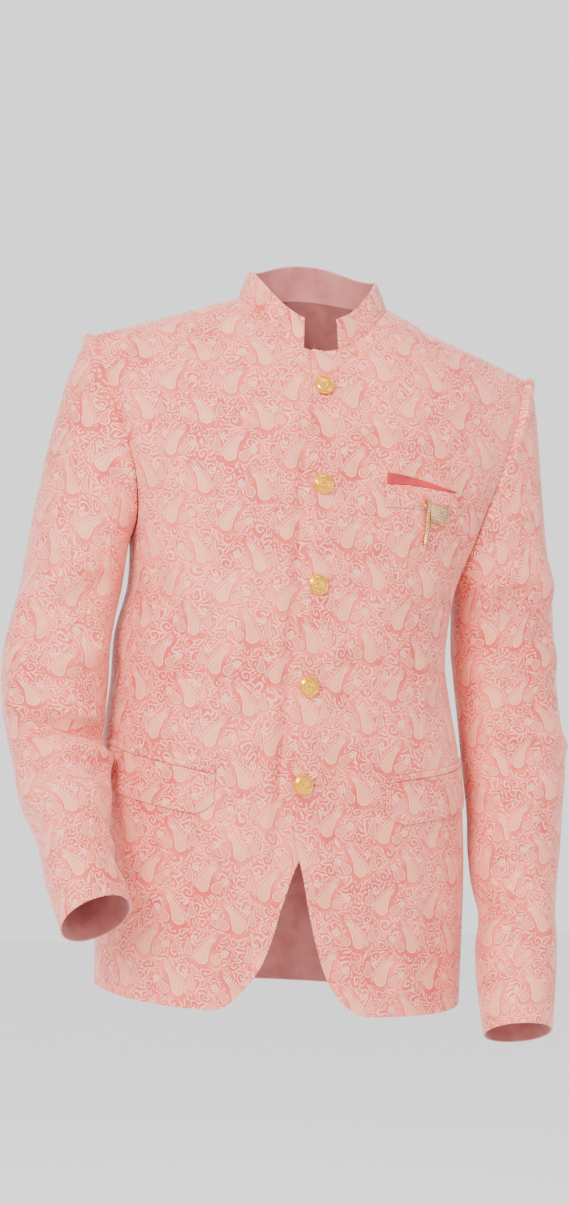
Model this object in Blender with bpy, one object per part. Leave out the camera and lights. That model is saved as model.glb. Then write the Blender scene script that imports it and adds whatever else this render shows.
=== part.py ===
"""Closed-neck brocade jacket in its worn form, with nobody in it.

Every cut piece is its own thin closed wall: two fronts, two side panels, two backs, upper and
under sleeves, a stand collar, pocket welts and flaps, a folded pocket square, five domed
buttons and a brooch.  The walls follow two surfaces, the body and the sleeves, which are worked
out from the short tables below.

Sizes are in millimetres and become metres when a mesh is made.  +Z is up, the front faces -Y
and +X is the wearer's left.  The origin is the middle of the neck at the base of the collar.
"""
import math
from typing import NamedTuple

import bmesh
import bpy
import numpy as np

MM = 0.001
CLOTH = 2.0            # thickness of the interlined brocade
SEAM = 0.36            # gap between neighbouring pieces
SMALL_STEP = 0.002     # step used to measure a surface's direction
RIGHT, LEFT = -1, 1    # the wearer's sides, as signs of X

# Driving sizes of the body
CHEST = -268.0         # height of the armpits on the centre line
SKIRT = 450.0          # length below the chest that the lower part of the surface covers
CHEST_TILT = 0.153     # the wearer's left side hangs lower at the armpits
SQUARENESS = 2.35      # 2 is an ellipse, more is squarer
FRONT_CAP, BACK_CAP = 2.0, 2.6      # roundness of the chest and of the upper back
BACK_NECK_RISE = 26.0  # how far the back of the neck stands over the shoulder line
NECK_HALF_WIDTH = 75.5
NECK_FRONT, NECK_BACK = 79.0, 56.0
SIDE_FRONT, SIDE_BACK = 0.43, 0.585   # side panel edges, as a share of the half girth
HALF_GIRTH = 450.0     # about the length of the cloth from front centre to back centre
SEAM_SHARE = SEAM / 2 / HALF_GIRTH
FRONT_CORNER = -697.0  # height where the cutaway turns into the hem


class Level(NamedTuple):
    """One level ring of the body."""
    height: float
    tilt: float
    centre_x: float
    centre_y: float
    turn: float        # how far the front centre stands towards +X of the middle
    half_width: float
    front: float
    back: float


LEVELS = (
    Level(-720, 0.062, -36, 8, 0, 186, 124, 116),
    Level(-630, 0.062, -33, 9, -3, 187, 130, 118),
    Level(-560, 0.063, -30, 10, -5, 186, 136, 118),
    Level(-500, 0.065, -30, 10, -2, 184, 140, 115),
    Level(-450, 0.066, -31, 10, 1, 181, 141, 110),
    Level(-400, 0.078, -32, 9, 6, 173, 140, 105),
    Level(-355, 0.100, -33, 8, 8, 168, 140, 102),
    Level(-310, 0.130, -25, 6, 7, 163, 139, 105),
    Level(-268, 0.153, -20, 4, 4, 166, 135, 110),
    Level(-200, 0.153, -11, 2, 0, 186, 133, 112),
    Level(-130, 0.153, -6, 0, 0, 209, 130, 112),
    Level(-60, 0.153, -4, 0, 0, 228, 128, 112),
    Level(0, 0.153, 0, 0, 0, 236, 127, 112),
)


class ShoulderPoint(NamedTuple):
    """Height of the shoulder line at one distance from the neck."""
    x: float
    height: float


SHOULDER_LINE = (
    ShoulderPoint(-260, -44), ShoulderPoint(-224, -34), ShoulderPoint(-150, -15),
    ShoulderPoint(-75, 5), ShoulderPoint(0, 3), ShoulderPoint(78, -5),
    ShoulderPoint(123, -29), ShoulderPoint(170, -50), ShoulderPoint(215, -71),
    ShoulderPoint(260, -92),
)


class ArmholePoint(NamedTuple):
    """One place round the armhole, for both the front and the back edge."""
    turn: float        # degrees, 0 at the armpit and 180 at the shoulder
    rise: float        # share of the height from chest to shoulder line
    front: float       # place round the half girth on the front piece
    back: float


ARMHOLE = (
    ArmholePoint(0, 0.0, 0.500, 0.500),
    ArmholePoint(20, 0.030, 0.455, 0.548),
    ArmholePoint(45, 0.130, 0.405, 0.600),
    ArmholePoint(70, 0.300, 0.372, 0.632),
    ArmholePoint(90, 0.470, 0.362, 0.642),
    ArmholePoint(120, 0.730, 0.364, 0.638),
    ArmholePoint(150, 0.920, 0.370, 0.632),
    ArmholePoint(180, 1.0, 0.376, 0.624),
)


class FrontEdge(NamedTuple):
    """Distance of each front's edge from the centre line, at one height."""
    height: float
    left: float
    right: float


FRONT_EDGES = (
    FrontEdge(-697, 46, 59),
    FrontEdge(-686, 37, 49),
    FrontEdge(-670, 29, 37),
    FrontEdge(-642, 20, 25),
    FrontEdge(-604, 11, 14),
    FrontEdge(-580, 6, 6),
    FrontEdge(-556, 0, -2),
    FrontEdge(-532, -5, -9),
    FrontEdge(-500, -9, -13),
    FrontEdge(-460, -10, -14),
    FrontEdge(-300, -11, -14),
    FrontEdge(-48, -11, -14),
)
OVERLAP_LIFT = 2.9     # the wearer's left front lies on the right one
OVERLAP_FLAT, OVERLAP_FADE = 18.0, 38.0
HEM_DROP = 14.0        # how far the hem hangs below the middle of its rounded corner
HEM_ROUND = 0.13       # share of the hem that the rest of that corner takes
HEM_SIDE_RISE = 8.0
HEM_FADE_ROWS = 4      # rows over which the hem's curve fades out
BACK_HEM = -703.0
FRONT_CHEST, BACK_CHEST = -172.0, -160.0      # where the side seam's top row meets the middle
NECK_PIT = -49.5
NECK_PLACE_GUESS, NECK_PLACE_ROUNDS = 0.6, 12  # the neckline's place is found in rounds


class SleeveSection(NamedTuple):
    """One section of a sleeve, across from its outer to its inner edge."""
    reach: float       # distance down the arm from the biceps
    outer_x: float
    outer_z: float
    inner_x: float
    inner_z: float
    y: float
    half_depth: float


RIGHT_SLEEVE = (
    SleeveSection(0, -290, -244, -199, -300, -6, 62),
    SleeveSection(33, -299, -288, -205, -326, -12, 60),
    SleeveSection(64, -310, -325, -209, -350, -18, 58),
    SleeveSection(98, -317, -361, -211, -381, -22, 56),
    SleeveSection(139, -318, -404, -215, -418, -28, 55),
    SleeveSection(175, -312, -441, -218, -443, -36, 53),
    SleeveSection(206, -307, -472, -214, -465, -50, 51),
    SleeveSection(241, -303, -496, -212, -495, -68, 50),
    SleeveSection(274, -293, -516, -216, -524, -88, 49),
    SleeveSection(308, -286, -546, -219, -546, -108, 48),
    SleeveSection(335, -283, -572, -213, -562, -124, 47),
    SleeveSection(365, -275, -601, -205, -578, -141, 46),
    SleeveSection(387, -270, -620, -202, -594, -152, 45),
)
LEFT_SLEEVE = (
    SleeveSection(0, 247, -262, 150, -346, 14, 62),
    SleeveSection(27, 253, -305, 150, -364, 16, 60),
    SleeveSection(52, 254, -334, 152, -386, 16, 59),
    SleeveSection(100, 258, -394, 155, -420, 14, 57),
    SleeveSection(140, 262, -441, 157, -454, 8, 55),
    SleeveSection(173, 264, -475, 159, -484, 2, 54),
    SleeveSection(214, 259, -518, 161, -521, -6, 52),
    SleeveSection(254, 254, -558, 160, -557, -16, 51),
    SleeveSection(290, 248, -592, 162, -591, -27, 50),
    SleeveSection(317, 244, -618, 167, -616, -35, 49),
    SleeveSection(354, 243, -652, 161, -651, -47, 48),
    SleeveSection(385, 240, -681, 160, -680, -57, 47),
    SleeveSection(415, 236, -708, 161, -710, -67, 46),
    SleeveSection(443, 231, -737, 163, -735, -77, 45),
)
SLEEVES = {RIGHT: RIGHT_SLEEVE, LEFT: LEFT_SLEEVE}
SLEEVE_HEAD = 200.0    # reach that the sleeve head takes up above the biceps
SLEEVE_SQUARENESS = 2.1
FORE_SEAM, HIND_SEAM = 72.0, 292.0    # sleeve seams, in degrees from the inner side
ARMPIT_BEND = 122.0    # how sharply the sleeve turns out of the body at the armpit
ARMPIT_BEND_FALL = 1.3
HEAD_START, HEAD_END = 0.36, 1.4      # pull of the sleeve head's two ends
SLEEVE_GAP_WIDEN = 1.4  # the squarish sleeve runs further per degree at its seams than a round one
SEAM_TURN_REACH = 20.0  # near the shoulder the sleeve's wall starts square to the body's
SEAM_TURN_BEND = math.radians(60.0)


class Fold(NamedTuple):
    """A soft ridge (or trough, where height is negative) across a sleeve."""
    turn_a: float
    reach_a: float
    turn_b: float
    reach_b: float
    height: float
    width: float


FOLDS = {
    RIGHT: (
        Fold(40, -40, 165, 62, 5.0, 13),
        Fold(50, 2, 150, 92, -5.0, 12),
        Fold(20, 60, 160, 128, 4.5, 13),
        Fold(30, 150, 170, 142, 6.0, 14),
        Fold(10, 188, 140, 176, -7.5, 14),
        Fold(-5, 205, 120, 212, 5.5, 12),
        Fold(20, 238, 165, 232, -5.0, 11),
        Fold(40, 262, 180, 258, 4.5, 12),
        Fold(150, 286, 215, 284, -5.0, 10),
        Fold(-20, 318, 60, 300, 3.5, 11),
        Fold(200, 150, 300, 200, -4.5, 16),
        Fold(215, 30, 330, 60, 4.0, 18),
    ),
    LEFT: (
        Fold(40, -70, 160, 22, 5.0, 13),
        Fold(45, -30, 150, 60, -4.5, 13),
        Fold(60, 40, 170, 80, 3.5, 14),
        Fold(60, 130, 175, 158, 4.5, 12),
        Fold(55, 152, 170, 178, -4.5, 11),
        Fold(20, 190, 150, 200, 3.5, 14),
        Fold(10, 250, 120, 268, 3.5, 14),
        Fold(0, 318, 110, 330, -4.0, 12),
        Fold(20, 345, 150, 352, 3.5, 12),
        Fold(200, 150, 300, 190, -4.5, 16),
        Fold(215, 30, 330, 60, 4.0, 18),
    ),
}
FOLD_RADIUS = 54.0     # radius used to measure folds round a sleeve
FOLD_END_FADE = 22.0
FOLD_HEAD_FADE, FOLD_CUFF_FADE = 60.0, 30.0

# Collar
COLLAR_FRONT_HEIGHT, COLLAR_SIDE_HEIGHT, COLLAR_BACK_HEIGHT = 31.0, 28.5, 36.0
COLLAR_GAP = 17.0      # from the centre line to each front end of the collar
COLLAR_CLOTH = 2.4
COLLAR_LEAN, COLLAR_MIDDLE_LEAN = 11.0, 4.0   # how far its top leans in over its base
COLLAR_SEAM = SEAM * 1.2

# Pockets, in distances along the cloth from the centre line
HIP_POCKET_START, HIP_POCKET_WIDTH = 86.0, 146.0
HIP_POCKET_HEIGHT = -472.0
HIP_POCKET_SLANT = math.tan(math.radians(8.0))
WELT_WIDTH, FLAP_DEPTH = 6.0, 43.0
FLAP_GAP = SEAM * 1.5  # between a welt and its flap, and between the breast welt and the square
FRONT_CORNER_WIDTH, FRONT_CORNER_RISE = 24.0, 15.0     # the flap's rounded corners
BACK_CORNER_WIDTH, BACK_CORNER_RISE = 20.0, 9.0
BREAST_START, BREAST_WIDTH = 64.0, 84.0
BREAST_HEIGHT, BREAST_DEPTH = -182.0, 22.0
BREAST_SLANT = math.tan(math.radians(8.0))
SQUARE_RISE, SQUARE_LOW_RISE = 11.0, 0.6      # how far the square stands out at its two ends
SQUARE_START, SQUARE_SHARE = 0.8, 0.96        # where it starts, and its share of the welt's width
SQUARE_CLOTH = 1.0
TRIM_CLOTH = 1.6
REST_GAP = 0.32        # gap between a piece and the cloth that it lies on
BUTTON_REST = 0.12     # the flat facets of the front lie a little under its true curve

# Buttons
BUTTON_HEIGHTS = (-93.0, -190.0, -288.5, -387.5, -483.5)


class TurnedPoint(NamedTuple):
    """One corner of a turned profile."""
    radius: float
    out: float


BUTTON_PROFILE = (
    TurnedPoint(3.6, 0.0), TurnedPoint(3.6, 1.7), TurnedPoint(9.5, 1.9),
    TurnedPoint(10.3, 2.9), TurnedPoint(9.4, 4.2), TurnedPoint(8.4, 4.0),
    TurnedPoint(4.2, 5.5),
)
BUTTON_SIDES = 18


class OutlinePoint(NamedTuple):
    """One corner of the brooch, across and above the middle of its handle's top."""
    across: float
    above: float


BROOCH = (
    OutlinePoint(-3, -46), OutlinePoint(3, -46), OutlinePoint(3, -19),
    OutlinePoint(7, -20.5), OutlinePoint(13, -20), OutlinePoint(18, -22),
    OutlinePoint(22, -15.5), OutlinePoint(24.5, -9), OutlinePoint(25, 2),
    OutlinePoint(17, 0), OutlinePoint(8, -2), OutlinePoint(3, -3),
    OutlinePoint(2.6, 1.5), OutlinePoint(-2.6, 1.5), OutlinePoint(-3, -4),
    OutlinePoint(-7.5, -7), OutlinePoint(-3, -10),
)
BROOCH_PLACE, BROOCH_HEIGHT = 110.0, -188.0
BROOCH_THICKNESS = 2.2
BROOCH_REST = 2 * REST_GAP + TRIM_CLOTH + 0.5   # it lies clear of the breast welt

# Rows and columns of each mesh; pieces that meet at a seam share their steps along it
FRONT_ACROSS = (0.0, 0.08, 0.15, 0.28, 0.42, 0.56, 0.70, 0.85, 1.0)
BACK_ACROSS, SIDE_ACROSS = 7, 5
SKIRT_ROWS = 16
NECK_STEPS = 7
ARMHOLE_TOP_STEPS, ARMHOLE_LOW_STEPS = 8, 3
SLEEVE_HEAD_ROWS, SLEEVE_ROWS = 7, 21
COLLAR_UP = 3
GIRTH_SAMPLES = 97


class Finish(NamedTuple):
    """Colour and finish of one material."""
    name: str
    colour: tuple
    roughness: float
    metallic: float


BROCADE = Finish("brocade", (0.90, 0.42, 0.38, 1.0), 0.55, 0.0)
SATIN = Finish("red_satin", (0.78, 0.03, 0.08, 1.0), 0.4, 0.0)
GOLD = Finish("gold", (0.86, 0.60, 0.22, 1.0), 0.28, 1.0)


def smooth(rows, key, column, at):
    """Read one column of a table on a smooth curve through its rows."""
    keys = np.array([getattr(row, key) for row in rows], dtype=float)
    values = np.array([getattr(row, column) for row in rows], dtype=float)
    slopes = np.gradient(values, keys)
    at = np.clip(at, keys[0], keys[-1])
    index = np.clip(np.searchsorted(keys, at, side="right") - 1, 0, len(keys) - 2)
    span = keys[index + 1] - keys[index]
    t = (at - keys[index]) / span
    start = (1 + 2 * t) * (1 - t) ** 2 * values[index] + t * (1 - t) ** 2 * span * slopes[index]
    end = t * t * (3 - 2 * t) * values[index + 1] - t * t * (1 - t) * span * slopes[index + 1]
    return start + end


def ease(value):
    """Go smoothly from 0 to 1 as the value does."""
    value = np.clip(value, 0.0, 1.0)
    return value * value * (3 - 2 * value)


def unit(vectors):
    """Scale vectors to length 1."""
    length = np.linalg.norm(vectors, axis=-1, keepdims=True)
    return vectors / np.maximum(length, 1e-12)


def power(value, exponent):
    """Raise the size of a signed number to a power and keep its sign."""
    return np.sign(value) * np.abs(value) ** exponent


def place_of_height(height):
    """Turn a height on the centre line into the body surface's own measure."""
    height = np.asarray(height, dtype=float)
    below = (height - CHEST) / SKIRT
    rise = np.clip(1 - height / CHEST, 0.0, 1.0)
    return np.where(height < CHEST, below, np.arcsin(rise) * 2 / math.pi)


def body(side, girth, place):
    """Points of the body: girth is 0 at the front centre and 1 at the back centre, and place
    is -1 below the hem, 0 at the armpits and 1 on the shoulder line."""
    girth, place = np.broadcast_arrays(np.asarray(girth, float), np.asarray(place, float))
    rise = np.sin(np.clip(place, 0.0, 1.0) * math.pi / 2)
    height = np.where(place < 0, CHEST + place * SKIRT, CHEST * (1 - rise))
    row = {name: smooth(LEVELS, "height", name, height) for name in Level._fields[1:]}
    angle = girth * math.pi
    across = power(np.sin(angle), 2 / SQUARENESS)
    forward = power(np.cos(angle), 2 / SQUARENESS)
    front_cap = (1 - rise ** FRONT_CAP) ** (1 / FRONT_CAP)
    back_cap = (1 - rise ** BACK_CAP) ** (1 / BACK_CAP)
    depth = np.where(forward > 0, row["front"] * front_cap, row["back"] * back_cap)
    x = row["centre_x"] + side * row["half_width"] * across
    x = x + row["turn"] * np.maximum(forward, 0.0) ** 2
    y = row["centre_y"] - depth * forward
    armpit = CHEST - CHEST_TILT * x
    near_neck = np.clip(1 - (x / NECK_HALF_WIDTH) ** 2, 0.0, 1.0) ** 2
    top = smooth(SHOULDER_LINE, "x", "height", x)
    top = top + np.where(forward < 0, BACK_NECK_RISE * near_neck, 0.0)
    z = np.where(place < 0, height - row["tilt"] * x, armpit + (top - armpit) * rise)
    return np.stack([x, y, z], axis=-1)


def body_frame(side, girth, place):
    """Directions on the body: along the girth, up, and straight out."""
    girth, place = np.broadcast_arrays(np.asarray(girth, float), np.asarray(place, float))
    upper = np.minimum(place + SMALL_STEP, 1.0)
    along = unit(body(side, girth + SMALL_STEP, np.minimum(place, 1 - SMALL_STEP))
                 - body(side, girth - SMALL_STEP, np.minimum(place, 1 - SMALL_STEP)))
    up = unit(body(side, girth, upper) - body(side, girth, upper - 2 * SMALL_STEP))
    return along, up, unit(side * np.cross(along, up))


def girth_at(side, place, distance):
    """Turn a distance along the cloth from the front centre into a place round the girth."""
    place = np.atleast_1d(np.asarray(place, dtype=float))
    distance = np.broadcast_to(np.asarray(distance, dtype=float), place.shape)
    samples = np.linspace(0.0, 1.0, GIRTH_SAMPLES)
    ring = body(side, samples[None, :], place[:, None])
    steps = np.linalg.norm(np.diff(ring, axis=1), axis=-1)
    lengths = np.concatenate([np.zeros((len(place), 1)), np.cumsum(steps, axis=1)], axis=1)
    found = [np.interp(abs(d), row, samples) for d, row in zip(distance, lengths)]
    return np.sign(distance) * np.array(found)


def girth_across(place, x):
    """Place round the girth at a small sideways distance from the front centre."""
    rise = np.sin(np.clip(place, 0.0, 1.0) * math.pi / 2)
    height = np.where(place < 0, CHEST + place * SKIRT, CHEST * (1 - rise))
    share = np.clip(np.asarray(x) / smooth(LEVELS, "height", "half_width", height), -1.0, 1.0)
    return np.arcsin(power(share, SQUARENESS / 2)) / math.pi


def cap_place(share, cap):
    """Place at which the body is a given share of its full depth."""
    return np.arcsin((1 - np.clip(share, 0.0, 1.0) ** cap) ** (1 / cap)) * 2 / math.pi


def shoulder_place(back):
    """Place of the shoulder seam, half a seam from the ridge."""
    depth, cap = (LEVELS[-1].back, BACK_CAP) if back else (LEVELS[-1].front, FRONT_CAP)
    return cap_place(SEAM / 2 / depth, cap)


def neckline(around, back):
    """Girth and place of the neckline: around is 0 at the middle and 90 at the shoulder."""
    around = np.radians(around)
    x = NECK_HALF_WIDTH * np.sin(around)
    y = (NECK_BACK if back else NECK_FRONT) * np.cos(around)
    cap = BACK_CAP if back else FRONT_CAP
    place = np.full(np.shape(around), NECK_PLACE_GUESS)
    for _ in range(NECK_PLACE_ROUNDS):
        height = CHEST * (1 - np.sin(place * math.pi / 2))
        half = smooth(LEVELS, "height", "half_width", height)
        depth = smooth(LEVELS, "height", "back" if back else "front", height)
        along = (1 - np.abs(x / half) ** SQUARENESS) ** (1 / SQUARENESS)
        place = cap_place(y / (along * depth), cap)
    place = np.minimum(place, shoulder_place(back))
    girth = girth_across(place, x)
    return (1 - girth if back else girth), place


def armhole(turn):
    """Girth and place of the armhole: turn is 0 at the armpit, 90 in front, 180 on top."""
    turn = np.mod(turn, 360.0)
    front = turn <= 180
    key = np.where(front, turn, 360 - turn)
    rise = np.clip(smooth(ARMHOLE, "turn", "rise", key), 0.0, 1.0)
    girth = np.where(front, smooth(ARMHOLE, "turn", "front", key),
                     smooth(ARMHOLE, "turn", "back", key))
    return girth, np.arcsin(rise) * 2 / math.pi


def armhole_turn_at(girth, back):
    """Turn at which the armhole crosses a place round the girth."""
    turns = np.linspace(0, 90, 181)
    places = armhole(360 - turns if back else turns)[0]
    if back:
        return float(np.interp(girth, places, turns))
    return float(np.interp(-girth, -places, turns))


def front_lift(side, girth, place):
    """How far the left front stands out where it lies on the right one."""
    if side != LEFT:
        return np.zeros(np.shape(girth))
    reach = OVERLAP_FADE - OVERLAP_FLAT
    near = body(side, girth, place)[..., 0] - body(side, girth * 0, place)[..., 0]
    return OVERLAP_LIFT * (1 - ease((near - OVERLAP_FLAT) / reach))


def hem_height(share):
    """Height of the hem across a front, from its rounded front corner to the side."""
    rounding = 1 - np.clip(1 - share / HEM_ROUND, 0.0, 1.0) ** 2
    return FRONT_CORNER - HEM_DROP * rounding + HEM_SIDE_RISE * share ** 2


def armhole_turns(back):
    """Turns of a front's or back's corners round the armhole, from its side seam to the top."""
    if back:
        low, seam = armhole_turn_at(SIDE_BACK, back=True), 360 - HIND_SEAM
    else:
        low, seam = armhole_turn_at(SIDE_FRONT, back=False), FORE_SEAM
    lower = np.linspace(low, seam, ARMHOLE_LOW_STEPS + 1)
    upper = np.linspace(seam, 180.0, ARMHOLE_TOP_STEPS + 1)
    return np.concatenate([lower, upper[1:]])


def neck_turns(first, back):
    """Turns of a panel's corners round the neckline; the collar stands on the same ones."""
    low = 0.0 if back else math.degrees(math.asin(COLLAR_GAP / NECK_HALF_WIDTH))
    turns = np.linspace(low, 90.0, NECK_STEPS + 1)
    return turns if back else np.concatenate([[first], turns])


def edge_steps(low, high, rows):
    """Even steps from low to high without the last one."""
    return np.linspace(low, high, rows + 1)[:-1]


def spread(first, last, across):
    """Mix two edges of a panel over its columns, which stand at given shares across."""
    return first[:, None] * (1 - across) + last[:, None] * across


def spread_girth(first, last, across):
    """Mix two edges' girths so that columns are about evenly apart along the cloth."""
    samples = np.linspace(-0.1, 1.0, 1101)
    sideways = power(np.sin(samples * math.pi), 2 / SQUARENESS)
    forward = power(np.cos(samples * math.pi), 2 / SQUARENESS)
    way = 1 - forward + np.where(samples < 0.5, sideways, 2 - sideways)
    way = np.where(samples < 0, sideways, way)
    mixed = spread(np.interp(first, samples, way), np.interp(last, samples, way), across)
    return np.interp(mixed, way, samples)


def front_grid(side, across=FRONT_ACROSS):
    """Girth and place of every point of a front, from its hem to its shoulder seam."""
    edge = "left" if side == LEFT else "right"
    first = math.degrees(math.asin(getattr(FRONT_EDGES[-1], edge) / NECK_HALF_WIDTH))
    neck_girth, neck_place = neckline(neck_turns(first, back=False), back=False)
    arm_girth, arm_place = armhole(armhole_turns(back=False))
    arm_place = np.minimum(arm_place, shoulder_place(back=False))
    chest_rows = len(arm_girth) - len(neck_girth)

    heights = np.concatenate([
        edge_steps(FRONT_CORNER, FRONT_CHEST, SKIRT_ROWS),
        edge_steps(FRONT_CHEST, NECK_PIT, chest_rows),
    ])
    places = place_of_height(heights)
    distance = smooth(FRONT_EDGES, "height", edge, heights)
    inner_girth = np.concatenate([girth_at(side, places, distance), neck_girth])
    inner_place = np.concatenate([places, neck_place])

    side_places = edge_steps(place_of_height(hem_height(1.0)), arm_place[0], SKIRT_ROWS)
    seam_girth = SIDE_FRONT - SEAM_SHARE
    outer_girth = np.concatenate([np.full(SKIRT_ROWS, seam_girth), arm_girth])
    outer_girth = np.minimum(outer_girth, seam_girth)
    outer_place = np.concatenate([side_places, arm_place])

    across = np.array(across)[None, :]
    girth = spread_girth(inner_girth, outer_girth, across)
    place = spread(inner_place, outer_place, across)
    straight = FRONT_CORNER * (1 - across) + hem_height(1.0) * across
    fade = np.clip(1 - np.arange(len(girth)) / HEM_FADE_ROWS, 0.0, 1.0)[:, None] ** 2
    return girth, place + (hem_height(across) - straight) / SKIRT * fade


def back_grid(columns=BACK_ACROSS):
    """Girth and place of every point of a back, from its hem to its shoulder seam."""
    neck_girth, neck_place = neckline(neck_turns(0.0, back=True), back=True)
    just_behind = 180.001
    turns = np.maximum(360 - armhole_turns(back=True), just_behind)
    arm_girth, arm_place = armhole(turns)
    arm_place = np.minimum(arm_place, shoulder_place(back=True))
    chest_rows = len(arm_girth) - len(neck_girth)
    hem = place_of_height(BACK_HEM)
    places = np.concatenate([
        edge_steps(hem, place_of_height(BACK_CHEST), SKIRT_ROWS),
        edge_steps(place_of_height(BACK_CHEST), neck_place[0], chest_rows),
    ])
    inner_place = np.concatenate([places, neck_place])
    seam_edge = 1 - girth_across(inner_place, SEAM / 2)
    inner_girth = np.minimum(np.concatenate([np.ones(len(places)), neck_girth]), seam_edge)

    seam_girth = SIDE_BACK + SEAM_SHARE
    outer_girth = np.concatenate([np.full(SKIRT_ROWS, seam_girth), arm_girth])
    outer_girth = np.maximum(outer_girth, seam_girth)
    outer_place = np.concatenate([edge_steps(hem, arm_place[0], SKIRT_ROWS), arm_place])
    across = np.linspace(0.0, 1.0, columns)[None, :]
    girth = spread_girth(inner_girth, outer_girth, across)
    return girth, spread(inner_place, outer_place, across)


def side_turns(columns=SIDE_ACROSS):
    """Turns of a side panel's corners round the armhole, from front to back."""
    front = armhole_turn_at(SIDE_FRONT, back=False)
    back = armhole_turn_at(SIDE_BACK, back=True)
    return np.linspace(front, -back, columns)


def side_grid(columns=SIDE_ACROSS):
    """Girth and place of every point of a side panel, from its front to its back edge."""
    top_girth, top_place = armhole(side_turns(columns))
    top_girth = np.clip(top_girth, SIDE_FRONT + SEAM_SHARE, SIDE_BACK - SEAM_SHARE)
    hem_girth = np.linspace(top_girth[0], top_girth[-1], columns)
    share = np.linspace(0.0, 1.0, SKIRT_ROWS + 1)[:, None]
    girth = hem_girth * (1 - share ** 3) + top_girth * share ** 3
    hem = place_of_height(np.linspace(hem_height(1.0), BACK_HEM, columns))
    return girth, hem * (1 - share) + top_place * share


def sleeve_ring(side, turn, reach):
    """Points of the sleeve tube below its head."""
    rows = SLEEVES[side]

    def edge(prefix, at):
        return np.stack([smooth(rows, "reach", prefix + "_x", at),
                         smooth(rows, "reach", "y", at),
                         smooth(rows, "reach", prefix + "_z", at)], axis=-1)

    low, high = np.maximum(reach - 4.0, 0.0), np.minimum(reach + 4.0, rows[-1].reach)
    axis = unit(edge("outer", high) + edge("inner", high) - edge("outer", low) - edge("inner", low))
    outer, inner = edge("outer", reach), edge("inner", reach)
    half = (inner - outer) / 2
    depth = unit(np.cross(axis, half))
    depth = depth * np.sign(-depth[..., 1:2]) * smooth(rows, "reach", "half_depth", reach)[..., None]
    angle = np.radians(turn)
    across = power(np.cos(angle), 2 / SLEEVE_SQUARENESS)[..., None]
    forward = power(np.sin(angle), 2 / SLEEVE_SQUARENESS)[..., None]
    return (outer + inner) / 2 + half * across + depth * forward


def armhole_start(side, turn):
    """Where the sleeve leaves the armhole, and the direction in which it leaves."""
    girth, place = armhole(turn)
    girth_on, place_on = armhole(turn + 1.0)
    girth_before, place_before = armhole(turn - 1.0)
    edge = unit(body(side, girth_on, place_on) - body(side, girth_before, place_before))
    out = body_frame(side, girth, place)[2]
    beyond = unit(side * np.cross(edge, out))
    bend = np.radians(ARMPIT_BEND * ((1 + np.cos(np.radians(turn))) / 2) ** ARMPIT_BEND_FALL)
    bend = bend[..., None]
    start = beyond * np.cos(bend) + out * np.sin(bend)
    gap = unit(beyond + out * (1 - np.cos(bend))) * SEAM
    return body(side, girth, place) + gap, start, out, bend[..., 0]


def plain_sleeve(side, turn, reach):
    """Points of a sleeve without its folds; reach runs from below 0 at the armhole."""
    turn, reach = np.broadcast_arrays(np.asarray(turn, float), np.asarray(reach, float))
    tube = sleeve_ring(side, turn, np.maximum(reach, 0.0))
    start, leave = armhole_start(side, turn)[:2]
    first = sleeve_ring(side, turn, np.zeros(turn.shape))
    arrive = unit(sleeve_ring(side, turn, np.full(turn.shape, 3.0)) - first)
    t = np.clip(1 + reach / SLEEVE_HEAD, 0.0, 1.0)[..., None]
    span = np.linalg.norm(first - start, axis=-1, keepdims=True)
    head = ((1 + 2 * t) * (1 - t) ** 2 * start + t * (1 - t) ** 2 * span * HEAD_START * leave
            + t * t * (3 - 2 * t) * first - t * t * (1 - t) * span * HEAD_END * arrive)
    return np.where((reach < 0)[..., None], head, tube)


def fold_height(side, turn, reach):
    """Height of the folds at a place on a sleeve."""
    total = np.zeros(np.shape(turn))
    for fold in FOLDS[side]:
        ax, ay = math.radians(fold.turn_a) * FOLD_RADIUS, fold.reach_a
        bx, by = math.radians(fold.turn_b) * FOLD_RADIUS, fold.reach_b
        length = math.hypot(bx - ax, by - ay)
        dx, dy = (bx - ax) / length, (by - ay) / length
        for lap in (-360.0, 0.0, 360.0):
            px = np.radians(turn + lap) * FOLD_RADIUS - ax
            py = reach - ay
            along, off = px * dx + py * dy, px * dy - py * dx
            ends = ease(along / FOLD_END_FADE) * ease((length - along) / FOLD_END_FADE)
            total = total + fold.height * ends * np.exp(-(off / fold.width) ** 2)
    total = total * ease((reach + SLEEVE_HEAD) / FOLD_HEAD_FADE)
    return total * ease((SLEEVES[side][-1].reach - reach) / FOLD_CUFF_FADE)


def sleeve(side, turn, reach):
    """Points of a sleeve and its directions straight out."""
    turn, reach = np.broadcast_arrays(np.asarray(turn, float), np.asarray(reach, float))
    last = SLEEVES[side][-1].reach
    low = np.maximum(reach - 1.0, -SLEEVE_HEAD)
    high = np.minimum(reach + 1.0, last)
    points = plain_sleeve(side, turn, reach)
    along = plain_sleeve(side, turn + 1.0, reach) - plain_sleeve(side, turn - 1.0, reach)
    down = plain_sleeve(side, turn, high) - plain_sleeve(side, turn, low)
    out = unit(side * np.cross(down, along))
    body_out, bend = armhole_start(side, turn)[2:]
    near = np.clip(1 - (reach + SLEEVE_HEAD) / SEAM_TURN_REACH, 0.0, 1.0)
    near = (near * np.clip(1 - bend / SEAM_TURN_BEND, 0.0, 1.0))[..., None]
    out = unit(out * (1 - near) + body_out * near)
    return points + out * fold_height(side, turn, reach)[..., None], out


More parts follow.
